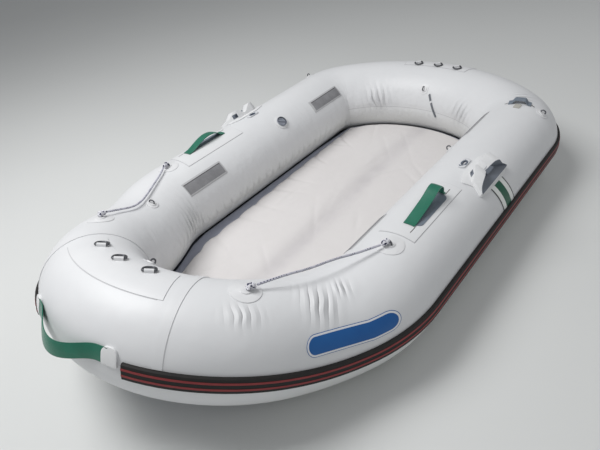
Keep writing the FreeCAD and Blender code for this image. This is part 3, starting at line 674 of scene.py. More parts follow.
# Rubbing strake: a black extruded rubber band with two red beads let into it.
strake_finish = Finish("black_rubber", Roughness=0.6, Specular_IOR_Level=0.25)
dust = strake_finish.mottle((0.008, 0.008, 0.009), (0.034, 0.031, 0.029), 30.0, 4.0, 0.65)
strake_finish.feed("Roughness", 0.48 + dust * 0.25)
strake_finish.roughen(0.0006, 0.4, 160.0, 3.0)
bead_finish = Finish("red_rubber", Roughness=0.45, Specular_IOR_Level=0.4)
wear = bead_finish.mottle((0.20, 0.012, 0.018), (0.31, 0.045, 0.045), 24.0, 4.0, 0.6)
bead_finish.feed("Roughness", 0.38 + wear * 0.2)
for name, finish in (("rub_strake", strake_finish), ("strake_bead_upper", bead_finish),
                     ("strake_bead_lower", bead_finish)):
    dress(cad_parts[name], finish)


# D rings: bent steel wire, hinged in the cloth sleeves of the ring patches; the wire's dark colour is a
# painted reflection of dark surroundings. Outside the sleeve the wire is drawn thicker than the solid's, so
# that at rest it dips a little into the patch.
steel_finish = Finish("wire_painted_dark_reflection", Metallic=0.85, Roughness=0.38)
# dark mottled base colour: painted reflection of dark surroundings
painted_reflection_mottle = steel_finish.mottle((0.035, 0.037, 0.042), (0.20, 0.205, 0.22), 120.0, 4.0, 0.6)
steel_finish.feed("Roughness", 0.30 + painted_reflection_mottle * 0.25)
wire_growth = 0.0010
sleeve_half = 0.0132
sleeve_fade = 0.003
bar_half = 0.004
ring_sideways = numpy.array((-0.752, 0.659, 0.0))
ring_ahead = numpy.array((0.659, 0.752, 0.0))
for end in ("bow", "stern"):
    for place in ("port", "middle", "starboard"):
        node = end + "_ring_" + place
        ring = merged_copy(node, node + "_wire")
        bpy.ops.object.shade_smooth_by_angle(angle=math.radians(42))
        spots = numpy.array([vertex.co for vertex in ring.data.vertices])
        aside, ahead = spots @ ring_sideways, spots @ ring_ahead
        aside = numpy.abs(aside - (aside.max() + aside.min()) / 2)
        from_bar = numpy.abs(ahead - ahead[aside > aside.max() - 0.0005].mean())
        bare = numpy.maximum((aside - sleeve_half) / sleeve_fade, (from_bar - bar_half) / bar_half)
        bare = bare.clip(0.0, 1.0)
        outward = numpy.array([vertex.normal for vertex in ring.data.vertices])
        move_to(ring.data, spots + outward * (wire_growth * bare)[:, None])
        dress(ring, steel_finish)
        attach(ring, node)
        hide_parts(node)


# Webbing handles: bands coated green outside; the side that faces in is coloured slate, which is painted
# shade. The two side handles are sewn to doublers at both ends; the bow one hangs between two moulded ends.
web_width = 0.038
web_thickness = 0.0026
web_crown = 0.0012
green_finish = Finish("green_webbing", Roughness=0.38, Specular_IOR_Level=0.5, Coat_Weight=0.35,
                      Coat_Roughness=0.22)
underside_shade_finish = Finish("webbing_underside_painted_shade", Roughness=0.7, Specular_IOR_Level=0.3)
# the slate colours of the bands' inner side are painted shade
for finish, dark, light in ((green_finish, (0.002, 0.115, 0.066), (0.006, 0.185, 0.112)),
                            (underside_shade_finish, (0.085, 0.105, 0.135), (0.135, 0.160, 0.195))):
    cloth_map = finish.node("UVMap")
    lengthwise, crosswise = finish.part(cloth_map, 0), finish.part(cloth_map, 1)
    threads = finish.ripple(lengthwise * 110.0) * finish.ripple(crosswise * 22.0)
    selvedge = (abs(crosswise - 0.5) > 0.45) + strip(abs(lengthwise - 0.5), 0.452, 0.462)
    mottled_tone = finish.mix(finish.noise(26.0, 4.0, 0.6), dark, light)
    finish.feed("Base Color", finish.mix(selvedge * 0.5, mottled_tone, dark))
    finish.feed("Roughness", 0.34 + threads * 0.14)
    finish.feed("Normal", finish.bump(threads, 0.0006, 0.6))


def rounded_path(points):
    """A path with its corners cut again and again until it bends smoothly."""
    for i in range(3):
        cut = [points[0]]
        for a, b in zip(points, points[1:]):
            cut += [a * 0.75 + b * 0.25, a * 0.25 + b * 0.75]
        points = cut + [points[-1]]
    return points


def web_band(name, points, across, wide=web_width):
    """A band of web along a path; across holds the direction of its width at each point."""
    reach = numpy.array([0.0] + [(b - a).length for a, b in zip(points, points[1:])]).cumsum()
    bpy.ops.object.select_all(action="DESELECT")
    bpy.ops.mesh.primitive_grid_add(x_subdivisions=72, y_subdivisions=8, size=1.0)
    band = bpy.context.object
    band.name = name
    place = numpy.array(points)
    width = numpy.array(across)
    ahead = numpy.gradient(place, axis=0)
    lift = numpy.cross(ahead, width)
    lift /= numpy.linalg.norm(lift, axis=1)[:, None]
    flat = numpy.array([vertex.co for vertex in band.data.vertices])
    along = (flat[:, 0] + 0.5) * reach[-1]
    share = flat[:, 1] * 2.0
    spots, sideways, off = (numpy.stack([numpy.interp(along, reach, a[:, i]) for i in range(3)], -1)
                            for a in (place, width, lift))
    spots = spots + sideways * (share * wide / 2)[:, None] + off * (web_crown * (1 - share ** 2))[:, None]
    move_to(band.data, spots)
    wall = band.modifiers.new("wall", "SOLIDIFY")
    wall.thickness = web_thickness
    wall.offset = 0.0
    wall.material_offset = 1
    bpy.ops.object.modifier_apply(modifier=wall.name)
    bpy.ops.object.shade_smooth_by_angle(angle=math.radians(50))
    band.data.materials.append(green_finish.material)
    band.data.materials.append(underside_shade_finish.material)
    return band


side_handle_angle = 94.0
# millimetres along the tube and off it
side_handle_shapes = {
    "port": [(-104, 0), (-90, 0), (-88, 26), (-76, 42), (-50, 44), (-22, 30), (10, 19), (58, 8), (92, 0),
             (104, 0)],
    "starboard": [(-104, 0), (-86, 0), (-62, 22), (-20, 30), (24, 22), (84, 0), (104, 0)],
}
side_handle_place = side_begins + side_run * 0.78
for side_name, side in (("port", PORT), ("starboard", STARBOARD)):
    seat = seat_frame(side, side_handle_place, side_handle_angle)
    path = rounded_path([Vector((a / 1000, 0, 0.0032 + h / 1000)) for a, h in side_handle_shapes[side_name]])
    across = seat.to_3x3() @ Vector((0, side, 0))
    band = web_band("side_handle_band_" + side_name, [seat @ p for p in path], [across] * len(path))
    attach(band, "boat")
    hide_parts("side_handle_" + side_name)

bow_reach = 0.122
bow_free_reach = 0.097
bow_drop = 0.028
bow_rise = 0.030
bow_places, bow_across = [], []
for i in range(41):
    offset = bow_reach * (i / 20 - 1)
    seat = seat_frame(PORT if offset >= 0 else STARBOARD, half_length - abs(offset), 178.0)
    free = max(0.0, 1 - (offset / bow_free_reach) ** 2) ** 2
    bow_places.append(seat @ Vector((0, bow_drop * free, 0.0033 + bow_rise * free)))
    bow_across.append(seat.to_3x3() @ Vector((0, -1, 0)))
band = web_band("bow_handle_band", bow_places, bow_across, wide=0.044)
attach(band, "boat")
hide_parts("bow_handle_web")

moulding_finish = Finish("white_moulding", Roughness=0.45, Specular_IOR_Level=0.5)
grain = moulding_finish.mottle((0.70, 0.71, 0.72), (0.80, 0.80, 0.80), 45.0, 4.0, 0.6)
moulding_finish.feed("Roughness", 0.38 + grain * 0.2)
moulding_finish.roughen(0.0003, 0.4, 500.0, 2.0)
for side_name in ("port", "starboard"):
    node = "bow_handle_end_" + side_name
    softened(node, node + "_moulded", moulding_finish, 0.0014)


# Seat patches: grey pile tape sewn inside a paler border, which the thwarts strap to.
pile_finish = Finish("grey_pile", Roughness=0.95, Specular_IOR_Level=0.1)
fuzz = pile_finish.noise(700.0, 3.0, 0.7)
blotch = pile_finish.noise(24.0, 3.0, 0.6)
pile = pile_finish.mix(fuzz * blotch * 2.0, (0.19, 0.19, 0.20), (0.34, 0.34, 0.35))
border = ((abs(pile_finish.value("fore")) > 0.1015) + (abs(pile_finish.value("outboard")) > 0.0235)) > 0.5
top_line = strip(pile_finish.value("outboard"), 0.0200, 0.0235)
seamed = pile_finish.mix(top_line * 0.8, pile, (0.05, 0.05, 0.055))
pile_finish.feed("Base Color", pile_finish.mix(border, seamed, (0.52, 0.52, 0.53)))
pile_finish.feed("Normal", pile_finish.bump(fuzz, 0.0012, 0.7))
for end, share in (("fore", 0.925), ("aft", 0.11)):
    for side_name, side in (("port", PORT), ("starboard", STARBOARD)):
        node = "seat_patch_" + end + "_" + side_name
        place = (side, side_begins + side_run * share, 41.0)
        softened(node, node + "_sewn", pile_finish, 0.0003, place)


# Rowlocks: white mouldings with a fishtail flange glued round the tube and a crescent ridge, open
# outboard, between two horns; an oar trough crosses the ridge.
def rounded_corners(corners, segments=5):
    """The points of a closed outline given as (x, y, radius) corners in millimetres."""
    points = []
    for i, (x, y, radius) in enumerate(corners):
        here = Vector((x, y))
        before = (Vector(corners[i - 1][:2]) - here).normalized()
        after = (Vector(corners[(i + 1) % len(corners)][:2]) - here).normalized()
        if radius == 0:
            points.append(here / 1000)
            continue
        half = before.angle(after) / 2
        middle = here + (before + after).normalized() * (radius / math.sin(half))
        first = here + before * (radius / math.tan(half)) - middle
        last = here + after * (radius / math.tan(half)) - middle
        turn = first.angle_signed(last)
        for j in range(segments + 1):
            swung = Matrix.Rotation(-turn * j / segments, 2) @ first
            points.append((middle + swung) / 1000)
    return points


def prism(name, points, low, high):
    """A solid with the outline of points between two heights."""
    bpy.ops.object.select_all(action="DESELECT")
    bpy.ops.mesh.primitive_circle_add(vertices=len(points), radius=1.0, fill_type="NGON")
    solid = bpy.context.object
    solid.name = name
    for vertex, (x, y) in zip(solid.data.vertices, points):
        vertex.co = (x, y, low)
    edit_all()
    bpy.ops.mesh.extrude_region_move(TRANSFORM_OT_translate={"value": (0, 0, high - low)})
    face_outward()
    return solid


def carve(piece, tool, operation):
    cut = piece.modifiers.new("cut", "BOOLEAN")
    cut.operation = operation
    cut.solver = "EXACT"
    cut.object = tool
    pick(piece)
    bpy.ops.object.modifier_apply(modifier=cut.name)
    bpy.data.objects.remove(tool, do_unlink=True)


def peg(radius, depth, place, axis="Z"):
    """A round cutter."""
    bpy.ops.object.select_all(action="DESELECT")
    turn = {"Z": (0, 0, 0), "Y": (math.pi / 2, 0, 0)}[axis]
    bpy.ops.mesh.primitive_cylinder_add(vertices=96, radius=radius, depth=depth, location=place,
                                        rotation=turn)
    bpy.ops.object.transform_apply()
    return bpy.context.object


rowlock_angle = 117.0
rowlock_place = side_begins + side_run * 0.487
flange_outline = [(-112, -34, 10), (-58, -52, 34), (58, -52, 34), (112, -34, 10), (94, 6, 24), (112, 48, 8),
                  (60, 56, 20), (-60, 56, 20), (-112, 48, 8), (-94, 6, 24)]
ridge_plan = [(-84, -8, 16), (-52, -34, 20), (52, -34, 20), (84, -8, 16), (108, 46, 4), (-108, 46, 4)]
ridge_profile = [(-110, -30, 0), (-110, 6, 0), (-86, 16, 20), (-60, 40, 12), (-40, 40, 6), (-19.5, 25, 0),
                 (19.5, 25, 0), (40, 40, 6), (60, 40, 12), (86, 16, 20), (110, 6, 0), (110, -30, 0)]
scoop_radius = 0.150
scoop_centre = 0.152
trough_radius = 0.021
trough_height = 0.035
rowlock_finish = Finish("rowlock_moulding", Roughness=0.45, Specular_IOR_Level=0.5)
grain = rowlock_finish.noise(45.0, 4.0, 0.6)
white = rowlock_finish.mix(grain, (0.70, 0.71, 0.72), (0.82, 0.82, 0.82))
local_fore = rowlock_finish.value("fore")
local_out = rowlock_finish.value("outboard")
local_rise = rowlock_finish.value("rise")
# painted shade: the scoop, the pocket on the flank and a notch in the saddle are coloured slate for the shade
# in these hollows
from_scoop = (local_fore * local_fore + (local_out - scoop_centre) * (local_out - scoop_centre)) ** 0.5
in_scoop = (from_scoop < scoop_radius + 0.0012) * (local_rise > 0.0045) * (abs(local_fore) < 0.104)
in_pocket = (strip(local_fore, 0.043, 0.077)
             * strip(local_rise, 0.0075, 0.027)
             * strip(local_out, -0.0335, -0.0200))
in_saddle = ((abs(local_fore) < 0.016) * strip(local_out, -0.006, 0.010)
             * (rowlock_finish.noise(70.0, 2.0) > 0.5)) * 0.5
painted_shade_slate = rowlock_finish.mix(grain, (0.115, 0.135, 0.170), (0.185, 0.205, 0.240))
shaded = in_scoop + in_pocket + in_saddle
shaded = shaded.joined("MINIMUM", shaded, 1.0)
rowlock_finish.feed("Base Color", rowlock_finish.mix(shaded, white, painted_shade_slate))
rowlock_finish.feed("Roughness", 0.38 + grain * 0.2)
rowlock_finish.roughen(0.0003, 0.4, 500.0, 2.0)
for side_name, side in (("port", PORT), ("starboard", STARBOARD)):
    ridge = prism("rowlock_ridge", rounded_corners(ridge_plan), -0.025, 0.060)
    profile = prism("rowlock_profile", rounded_corners(ridge_profile), -0.075, 0.075)
    for vertex in profile.data.vertices:
        vertex.co = (vertex.co.x, vertex.co.z, vertex.co.y)
    face_outward()
    carve(ridge, profile, "INTERSECT")
    carve(ridge, peg(scoop_radius, 0.06, (0, scoop_centre, 0.036)), "DIFFERENCE")
    saddle = prism("rowlock_saddle", [(-0.030, -0.030), (0.030, -0.030), (0.026, 0.016), (-0.026, 0.016)],
                   -0.025, 0.025)
    carve(ridge, saddle, "UNION")
    carve(ridge, peg(trough_radius, 0.15, (0, 0, trough_height), "Y"), "DIFFERENCE")
    pocket = prism("rowlock_pocket", [(0.046, -0.050), (0.074, -0.050), (0.060, -0.0245), (0.048, -0.0245)],
                   0.0085, 0.023)
    carve(ridge, pocket, "DIFFERENCE")
    flange = prism("rowlock_flange", rounded_corners(flange_outline), -0.0001, 0.0039)
    edit_all()
    for i in range(-10, 11):
        bpy.ops.mesh.bisect(plane_co=(0, i * 0.0052, 0), plane_no=(0, 1, 0))
        bpy.ops.mesh.select_all(action="SELECT")
    bpy.ops.object.mode_set(mode="OBJECT")
    for vertex in flange.data.vertices:
        turn = vertex.co.y / skin_radius
        reach = skin_radius + vertex.co.z
        vertex.co = (vertex.co.x, math.sin(turn) * reach, math.cos(turn) * reach - skin_radius)
    round_edges(ridge, 0.0016, 3, 35)
    round_edges(flange, 0.0008, 3, 35)
    pick(flange, ridge)
    bpy.ops.object.join()
    flat = numpy.array([vertex.co for vertex in flange.data.vertices])
    carry(flange.data, fore=flat[:, 0], outboard=flat[:, 1], rise=flat[:, 2])
    flange.name = "rowlock_moulded_" + side_name
    flange.data.transform(seat_frame(side, rowlock_place, rowlock_angle))
    face_outward()
    bpy.ops.object.shade_smooth_by_angle(angle=math.radians(40))
    flange.data.materials.append(rowlock_finish.material)
    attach(flange, "boat")
    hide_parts("rowlock_" + side_name)

keeper_finish = Finish("keeper_moulding", Roughness=0.5, Specular_IOR_Level=0.45)
speckle = keeper_finish.noise(60.0, 3.0, 0.6)
# painted shade: round the hole the moulding is coloured dark for the shade in it
hole_painted_shade = (((keeper_finish.value("fore") * 0.62) ** 2.0 + keeper_finish.value("outboard") ** 2.0) < 0.00013)
speckled = keeper_finish.mix(speckle > 0.60, (0.66, 0.67, 0.69), (0.16, 0.18, 0.22))
keeper_finish.feed("Base Color", keeper_finish.mix(hole_painted_shade, speckled, (0.10, 0.12, 0.16)))
for side_name, side in (("port", PORT), ("starboard", STARBOARD)):
    node = "rowlock_keeper_" + side_name
    softened(node, node + "_moulded", keeper_finish, 0.0010, (side, rowlock_place, 92.0))


# Flat webs: the slate base strips under the side handles' arches, their slate also a painted shadow of the
# arches; the loop over the port quarter with its pale tongue; the strap that hangs from the stern's eye, with
# the eye's painted shadow on it; and dark films of painted shadow for the narrow slits beside them.
def film(name, length, width, rounding, thickness, lift, caps=12):
    """A thin sheet with rounded corners: x runs along the tube, y round it, z off it."""
    columns = 2 * caps + max(4, round(length / 0.008))
    rows = max(4, round(width / 0.006))
    bpy.ops.object.select_all(action="DESELECT")
    bpy.ops.mesh.primitive_grid_add(x_subdivisions=columns, y_subdivisions=rows, size=1.0)
    sheet = bpy.context.object
    sheet.name = name
    flat = length / 2 - rounding
    middle = 1.0 - 2.0 * caps / columns
    for vertex in sheet.data.vertices:
        along, across = vertex.co.x * 2, vertex.co.y * 2
        turn = max(0.0, abs(along) - middle) / (1.0 - middle) * math.pi / 2
        reach = flat * min(1.0, abs(along) / middle) + rounding * math.sin(turn)
        half = width / 2 - rounding + rounding * math.cos(turn)
        vertex.co = (math.copysign(reach, along), across * max(half, 0.00002), 0.0)
    edit_all()
    bpy.ops.mesh.remove_doubles(threshold=0.00001)
    bpy.ops.mesh.extrude_region_move(TRANSFORM_OT_translate={"value": (0, 0, thickness)})
    face_outward()
    for vertex in sheet.data.vertices:
        vertex.co.z += lift
    return sheet


def laid_on(piece, side, distance, angle, slant=0.0, swing=0.0, droop=(0.0, 0.0), finish=None):
    """Lays a flat sheet on the tube, turned by swing degrees; slant leans it along the tube, and the
    sheet bows down towards its fore end by droop, a slope and a curve."""
    mesh = piece.data
    flat = numpy.array([vertex.co for vertex in mesh.vertices])
    carry(mesh, fore=flat[:, 0], outboard=flat[:, 1])
    turn = math.radians(swing)
    along = flat[:, 0] * math.cos(turn) - flat[:, 1] * math.sin(turn)
    round_it = flat[:, 0] * math.sin(turn) + flat[:, 1] * math.cos(turn)
    round_it = round_it + droop[0] * flat[:, 0] + droop[1] * flat[:, 0] ** 2
    places = distance + along + slant * round_it
    turned = angle + numpy.degrees(round_it / skin_radius)
    laid = numpy.where((places >= 0)[:, None], on_tube(side, numpy.abs(places), turned, flat[:, 2]),
                       on_tube(-side, numpy.abs(places), turned, flat[:, 2]))
    move_to(mesh, laid)
    pick(piece)
    face_outward()
    bpy.ops.object.shade_smooth_by_angle(angle=math.radians(40))
    piece.data.materials.append(finish.material)
    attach(piece, "boat")
    return piece


# slate web: real on the quarter loop; on the base strips it stands partly for the shade under the handles'
# arches, a painted shadow
base_and_shadow_finish = Finish("slate_web_and_painted_shadow", Roughness=0.7, Specular_IOR_Level=0.3)
ribs = (base_and_shadow_finish.ripple(base_and_shadow_finish.value("fore") * 330.0)
        * base_and_shadow_finish.ripple(base_and_shadow_finish.value("outboard") * 330.0))
base_and_shadow_finish.mottle((0.140, 0.170, 0.210), (0.22, 0.255, 0.30), 60.0, 3.0)
base_and_shadow_finish.feed("Normal", base_and_shadow_finish.bump(ribs, 0.0006, 0.6))
tongue_finish = Finish("pale_web", Roughness=0.7, Specular_IOR_Level=0.3)
tongue_finish.mottle((0.42, 0.41, 0.37), (0.52, 0.51, 0.47), 60.0, 3.0)
tongue_finish.roughen(0.0005, 0.6, 500.0, 2.0)
slit_finish = Finish("slit_shadow", Roughness=0.8, Specular_IOR_Level=0.2)
slit_finish.mottle((0.035, 0.030, 0.028), (0.13, 0.115, 0.10), 90.0, 3.0)
for side_name, side in (("port", PORT), ("starboard", STARBOARD)):
    base_and_shadow_strip = laid_on(film("side_handle_base_and_shadow_" + side_name, 0.188, 0.046, 0.020, 0.0010, 0.0017), side,
                   side_handle_place, 98.0, finish=base_and_shadow_finish)
    for end, reach in (("fore", 0.118), ("aft", -0.118)):
        laid_on(film("side_handle_slit_" + end + "_" + side_name, 0.030, 0.0022, 0.001, 0.0003, 0.0016), side,
                side_handle_place + reach, 101.0, finish=slit_finish)

quarter_place = side_begins - 0.044
softened("quarter_loop_port", "quarter_loop_sewn", base_and_shadow_finish, 0.0006)
laid_on(film("quarter_tongue", 0.034, 0.026, 0.003, 0.0018, 0.0004), PORT, quarter_place + 0.036, 91.0,
        finish=tongue_finish)
for end, reach, lean in (("upper", 78.0, 24.0), ("lower", 106.0, -24.0)):
    laid_on(film("quarter_slit_" + end, 0.003, 0.040, 0.0014, 0.0004, 0.0006), PORT, quarter_place, reach,
            swing=lean, finish=slit_finish)

strap_finish = Finish("stern_strap_and_painted_shadow", Roughness=0.75, Specular_IOR_Level=0.3)
# the pale band is the strap's web; the dark grey round it is painted shadow of the eye
band = strip(strap_finish.value("outboard"), 0.016, 0.026)
mottled_tone = strap_finish.mix(strap_finish.noise(70.0, 3.0), (0.10, 0.11, 0.13), (0.24, 0.25, 0.27))
strap_finish.feed("Base Color", strap_finish.mix(band, mottled_tone, (0.72, 0.72, 0.73)))
strap_finish.roughen(0.0005, 0.6, 500.0, 2.0)
laid_on(film("stern_strap", 0.012, 0.124, 0.004, 0.0022, 0.0005), PORT, 0.079, 11.0, swing=32.0,
        finish=strap_finish)


# Valve: a white flange welded to the starboard tube round a slate screw cap with a bar to turn it by.
valve_place = (STARBOARD, side_begins + side_run * 0.426, 49.0)
valve_seat = seat_frame(*valve_place)
cap_radius = 0.024
cap_depth = 0.0060
bar_size = (0.038, 0.0070, 0.0048)
softened("valve_body", "valve_flange", moulding_finish, 0.0008)
cap_finish = Finish("slate_valve_cap", Roughness=0.5, Specular_IOR_Level=0.45)
from_axis = (cap_finish.value("fore") ** 2.0 + cap_finish.value("outboard") ** 2.0) ** 0.5
cap_rim = strip(from_axis, 0.0190, 0.0215)
cap_colour = cap_finish.mix(cap_finish.noise(70.0, 3.0), (0.17, 0.19, 0.23), (0.30, 0.32, 0.37))
cap_finish.feed("Base Color", cap_finish.mix(cap_rim, cap_colour, (0.035, 0.038, 0.050)))
cap_finish.roughen(0.0003, 0.4, 300.0, 2.0)
bpy.ops.object.select_all(action="DESELECT")
bpy.ops.mesh.primitive_cylinder_add(vertices=64, radius=cap_radius, depth=cap_depth,
                                    location=(0, 0, cap_depth))
cap = bpy.context.object
bpy.ops.object.transform_apply()
bpy.ops.object.mode_set(mode="EDIT")
bpy.ops.mesh.select_all(action="DESELECT")
bpy.ops.object.mode_set(mode="OBJECT")
for face in cap.data.polygons:
    face.select = face.normal.z > 0.9
bpy.ops.object.mode_set(mode="EDIT")
bpy.ops.mesh.inset(thickness=0.0032)
bpy.ops.mesh.extrude_region_move(TRANSFORM_OT_translate={"value": (0, 0, -0.0030)})
bpy.ops.mesh.inset(thickness=0.0060)
bpy.ops.mesh.extrude_region_move(TRANSFORM_OT_translate={"value": (0, 0, -0.0010)})
bpy.ops.object.mode_set(mode="OBJECT")
bpy.ops.object.select_all(action="DESELECT")
bpy.ops.mesh.primitive_cube_add(size=1.0, location=(0, 0, 0.0062))
bar = bpy.context.object
bar.scale = bar_size
bpy.ops.object.transform_apply()
for piece in (cap, bar):
    round_edges(piece, 0.0008, 2, 30)
pick(cap, bar)
bpy.ops.object.join()
cap.name = "valve_screw_cap"
cap.data.transform(Matrix.Rotation(math.radians(35), 4, "Z"))
flat = numpy.array([vertex.co for vertex in cap.data.vertices])
carry(cap.data, fore=flat[:, 0], outboard=flat[:, 1])
cap.data.transform(valve_seat)
face_outward()
bpy.ops.object.shade_smooth_by_angle(angle=math.radians(40))
cap.data.materials.append(cap_finish.material)
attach(cap, "boat")
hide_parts("valve_cap")


# Soft floor: a padded sheet of pale cloth, laced to the tube all round. Its starboard edge is scalloped
# between the lacings, creases run in from there, and the middle is slack. A slate skirt shows at its edge.
floor_top = 0.0613
floor_underside = 0.0036
slope_note = routes[PORT][numpy.searchsorted(routes[PORT][:, 0], walks[PORT].bends[6][0])]
slope_up = slope_note[10:13]
floor_slope = math.atan2(-slope_up[0], slope_up[2])
under = slope_note[1:4] - slope_up * tube_radius
slope_foot = under[0] - under[2] / math.tan(floor_slope)
bend_radius = 0.525
rise_from = slope_foot - bend_radius * math.tan(floor_slope / 2)


def floor_height(x, above):
    """The floor's height over the ground at x: level, then bending up into the bow's slope."""
    radius = bend_radius - above
    past = numpy.maximum(numpy.asarray(x) - rise_from, 0.0)
    bent_reach = radius * math.sin(floor_slope)
    bent = bend_radius - numpy.sqrt(radius ** 2 - numpy.minimum(past, bent_reach) ** 2)
    return bent + numpy.maximum(past - bent_reach, 0.0) * math.tan(floor_slope)


edge_distance = numpy.arange(0.0, half_length, 0.006)
edge_angle = numpy.arange(-75.0, 40.0, 0.5)
edge_grid = on_tube(PORT, edge_distance[:, None], edge_angle[None, :])
above_floor = edge_grid[..., 2] > floor_height(edge_grid[..., 0], floor_top)
touch = edge_grid[numpy.arange(len(edge_distance)), above_floor.argmax(1)]
widest = touch[:, 1].max()


def widening(edge):
    """The points of an edge that lie further out than all before them."""
    furthest = numpy.maximum.accumulate(edge[:, 1])
    return edge[numpy.concatenate([[True], numpy.diff(furthest) > 0.0])]


stern_edge = widening(touch[touch[:, 0] < -0.2])
bow_edge = widening(touch[touch[:, 0] > 0.2][::-1])


def opening_grid(name, columns, rows, aft_gap=0.0, fore_gap=0.0):
    """A grid over the opening inside the tube, its points' places in it and their distances from its edge."""
    bpy.ops.object.select_all(action="DESELECT")
    bpy.ops.mesh.primitive_grid_add(x_subdivisions=columns, y_subdivisions=rows, size=2.0)
    grid = bpy.context.object
    grid.name = name
    flat = numpy.array([vertex.co for vertex in grid.data.vertices])
    run, across = (flat[:, 0] + 1) / 2, flat[:, 1]
    y = across * widest
    stern_x = numpy.interp(numpy.abs(y), stern_edge[:, 1], stern_edge[:, 0]) + aft_gap
    bow_x = numpy.interp(numpy.abs(y), bow_edge[:, 1], bow_edge[:, 0]) - fore_gap
    x = stern_x + (bow_x - stern_x) * run
    to_edge = numpy.minimum(numpy.minimum(run * (bow_x - stern_x), (1 - run) * (bow_x - stern_x)),
                            (1 - numpy.abs(across)) * widest)
    return grid, x, y, run, across, to_edge


floor, x, y, run, across, to_edge = opening_grid("soft_floor", 240, 100, 0.004, 0.012)
scallop_pitch = 0.118
scallop_shift = 0.02
valley_depth, valley_width = 0.0120, 0.042
hem_drop, hem_reach = 0.016, 0.022
scallop = numpy.abs(numpy.sin(math.pi * (x + scallop_shift) / scallop_pitch)) ** 0.7
aft_share = numpy.clip((0.75 - x) / 1.5, 0.0, 1.0)
starboard_gap = 0.020 + 0.050 * (1 - aft_share) ** 1.5 + 0.012 * (1 - scallop)
port_gap = 0.007 + 0.003 * (1 - scallop)
gap = numpy.where(across < 0, starboard_gap, port_gap) * numpy.abs(across) ** 3
y = numpy.sign(y) * (numpy.abs(y) - gap)
z = floor_height(x, floor_top)
dice = numpy.random.RandomState(7)
valley_at = 0.012 + 0.018 * numpy.sin(3.1 * x + 0.4)
ends = numpy.clip(numpy.minimum(run, 1 - run) / 0.22, 0.0, 1.0)
z = z - valley_depth * bell(y, valley_at, valley_width) * ends
z = z - 0.0035 * bell(y, valley_at - 0.14, 0.05) * bell(x, -0.1, 0.30)
# creases run in from each lacing on the starboard edge and from a few places at the other edges
for i in range(-6, 9):
    start = i * scallop_pitch - scallop_shift
    length = 0.07 + 0.16 * dice.rand()
    lean = (dice.rand() - 0.35) * 0.9
    depth = 0.0034 + 0.0030 * dice.rand()
    inward = y + widest
    line_x = start + lean * inward
    z = z - depth * bell(x, line_x, 0.0085) * numpy.clip(1 - inward / length, 0.0, 1.0) ** 0.7
    z = z + 0.5 * depth * bell(x, line_x + 0.016, 0.012) * numpy.clip(1 - inward / length, 0.0, 1.0)
for i in range(18):
    middle_x, middle_y = -0.70 + 1.45 * dice.rand(), (dice.rand() - 0.5) * 0.5
    turn, length, depth = (dice.rand() - 0.5) * 2.2, 0.05 + 0.10 * dice.rand(), 0.0016 + 0.0018 * dice.rand()
    ahead = (x - middle_x) * math.cos(turn) + (y - middle_y) * math.sin(turn)
    aside = (y - middle_y) * math.cos(turn) - (x - middle_x) * math.sin(turn)
    z = z - depth * bell(ahead, 0.0, length) * bell(aside, 0.0, 0.011)
z = z - hem_drop * numpy.clip(1 - to_edge / hem_reach, 0.0, 1.0) ** 2
move_to(floor.data, numpy.stack([x, y, z], -1))
carry(floor.data, edge=to_edge, valley=y - valley_at)
edit_all()
bpy.ops.mesh.extrude_region_move(TRANSFORM_OT_translate={"value": (0, 0, -0.02)})
bpy.ops.object.mode_set(mode="OBJECT")
# the underside lies level on the bottom cloth
for vertex in floor.data.vertices:
    if vertex.select:
        vertex.co.z = float(floor_height(vertex.co.x, floor_underside))
face_outward()
bpy.ops.object.shade_smooth_by_angle(angle=math.radians(70))
floor_finish = Finish("floor_cloth", Roughness=0.8, Specular_IOR_Level=0.3)
marks = floor_finish.noise(4.0, 5.0, 0.6)
floor_colour = floor_finish.mix(marks, (0.665, 0.640, 0.632), (0.730, 0.708, 0.700))
hem = strip(floor_finish.value("edge"), 0.010, 0.013) * 0.4
# painted shade: the floor is coloured darker along the valley where it dips
valley_painted_shade = nearness(floor_finish.value("valley"), 0.0, 0.045) * floor_finish.noise(9.0, 4.0) * 0.5
floor_finish.feed("Base Color", floor_finish.mix(hem.joined("MAXIMUM", hem, valley_painted_shade), floor_colour,
                                                 (0.40, 0.375, 0.40)))
cloth_grain = floor_finish.bump(floor_finish.noise(700.0, 2.0), 0.0003, 0.4)
slack_cloth = floor_finish.bump(floor_finish.noise(5.0, 3.0, 0.55), 0.010, 0.5, cloth_grain)
streaks = floor_finish.node("Mapping", {"vector_type": "POINT"}, {"Vector": floor_finish.place(),
                                                                  "Scale": (3.0, 14.0, 1.0)})
streaked = floor_finish.noise(1.6, 3.0, 0.6, streaks)
floor_finish.feed("Normal", floor_finish.bump(streaked, 0.005, 0.5, slack_cloth))
floor.data.materials.append(floor_finish.material)
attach(floor, "boat")
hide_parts("air_floor")

# slate skirt that the floor is laced to, glued round the inside of the tube under the floor's edge
skirt_width = 0.12
skirt_thickness = 0.0015
skirt_below = 0.012
skirt, x, y, run, across, to_edge = opening_grid("floor_skirt", 160, 64)
z = floor_height(x, floor_top) - skirt_below - 0.003 * numpy.sin(x * 40.0) * numpy.clip(to_edge / 0.05, 0, 1)
move_to(skirt.data, numpy.stack([x, y, z], -1))
bpy.ops.object.mode_set(mode="EDIT")
bpy.ops.mesh.select_all(action="DESELECT")
bpy.ops.object.mode_set(mode="OBJECT")
for vertex, reach in zip(skirt.data.vertices, to_edge):
    vertex.select = bool(reach > skirt_width)
bpy.ops.object.mode_set(mode="EDIT")
bpy.ops.mesh.delete(type="VERT")
bpy.ops.object.mode_set(mode="OBJECT")
wall = skirt.modifiers.new("wall", "SOLIDIFY")
wall.thickness = skirt_thickness
bpy.ops.object.modifier_apply(modifier=wall.name)
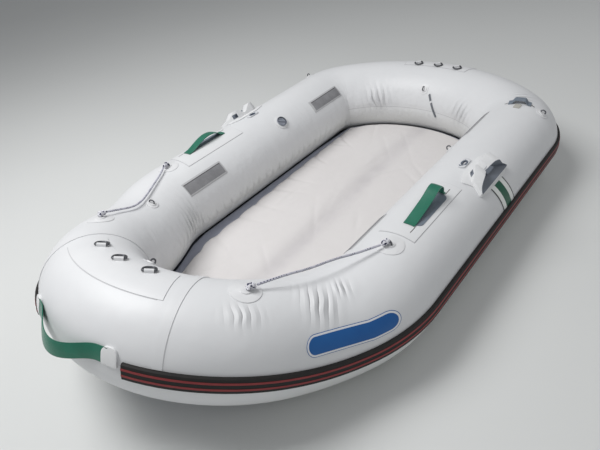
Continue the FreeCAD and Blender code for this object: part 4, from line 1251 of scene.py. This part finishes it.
bpy.ops.object.shade_smooth_by_angle(angle=math.radians(50))
skirt_finish = Finish("slate_skirt_cloth", Roughness=0.6, Specular_IOR_Level=0.35)
skirt_finish.mottle((0.36, 0.38, 0.46), (0.44, 0.46, 0.54), 11.0, 4.0, 0.6)
skirt_finish.roughen(0.002, 0.4, 30.0, 3.0)
skirt.data.materials.append(skirt_finish.material)
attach(skirt, "boat")


# Stripes and badge: thin films stuck on the tube, under the rowlocks and under the port life line. The
# badge is a plain blue pill in a white border with a thin blue edge.
film_thickness = 0.0005
stripe_finish = Finish("stripe_film", Roughness=0.4, Specular_IOR_Level=0.5)
over = stripe_finish.value("fore")
scuffs = stripe_finish.noise(40.0, 4.0, 0.6)
green = stripe_finish.mix(scuffs, (0.004, 0.085, 0.045), (0.010, 0.125, 0.070))
pale = stripe_finish.mix(scuffs, (0.80, 0.83, 0.80), (0.86, 0.88, 0.86))
banded = stripe_finish.mix(abs(over) < 0.0195, pale, green)
stripe_finish.feed("Base Color", stripe_finish.mix((abs(over) > 0.0425), banded, (0.018, 0.018, 0.022)))
stripe_finish.feed("Normal", stripe_finish.bump(scuffs, 0.0003, 0.3))
for side_name, side in (("port", PORT), ("starboard", STARBOARD)):
    laid_on(film("stripes_" + side_name, 0.095, 0.106, 0.0006, film_thickness, 0.0002, caps=3), side,
            rowlock_place - 0.020, 152.6, slant=-0.22, finish=stripe_finish)

badge_length = 0.290
badge_height = 0.060
badge_border = 0.0068
badge_place = 1.920
badge_angle = 152.6
border_finish = Finish("white_film", Roughness=0.35, Specular_IOR_Level=0.5)
border_finish.mottle((0.76, 0.76, 0.77), (0.81, 0.81, 0.82), 20.0)
blue_finish = Finish("blue_film", Roughness=0.32, Specular_IOR_Level=0.5)
blue_finish.mottle((0.008, 0.085, 0.30), (0.014, 0.125, 0.38), 14.0, 3.0)
for name, inset, lift, finish in (("badge_edge", 0.0, 0.0002, blue_finish),
                                  ("badge_border", 0.0016, 0.0002 + film_thickness, border_finish),
                                  ("badge_field", badge_border, 0.0002 + 2 * film_thickness, blue_finish)):
    laid_on(film(name, badge_length - 2 * inset, badge_height - 2 * inset, badge_height / 2 - inset,
                 film_thickness, lift), PORT, badge_place, badge_angle, droop=(0.055, 0.52), finish=finish)
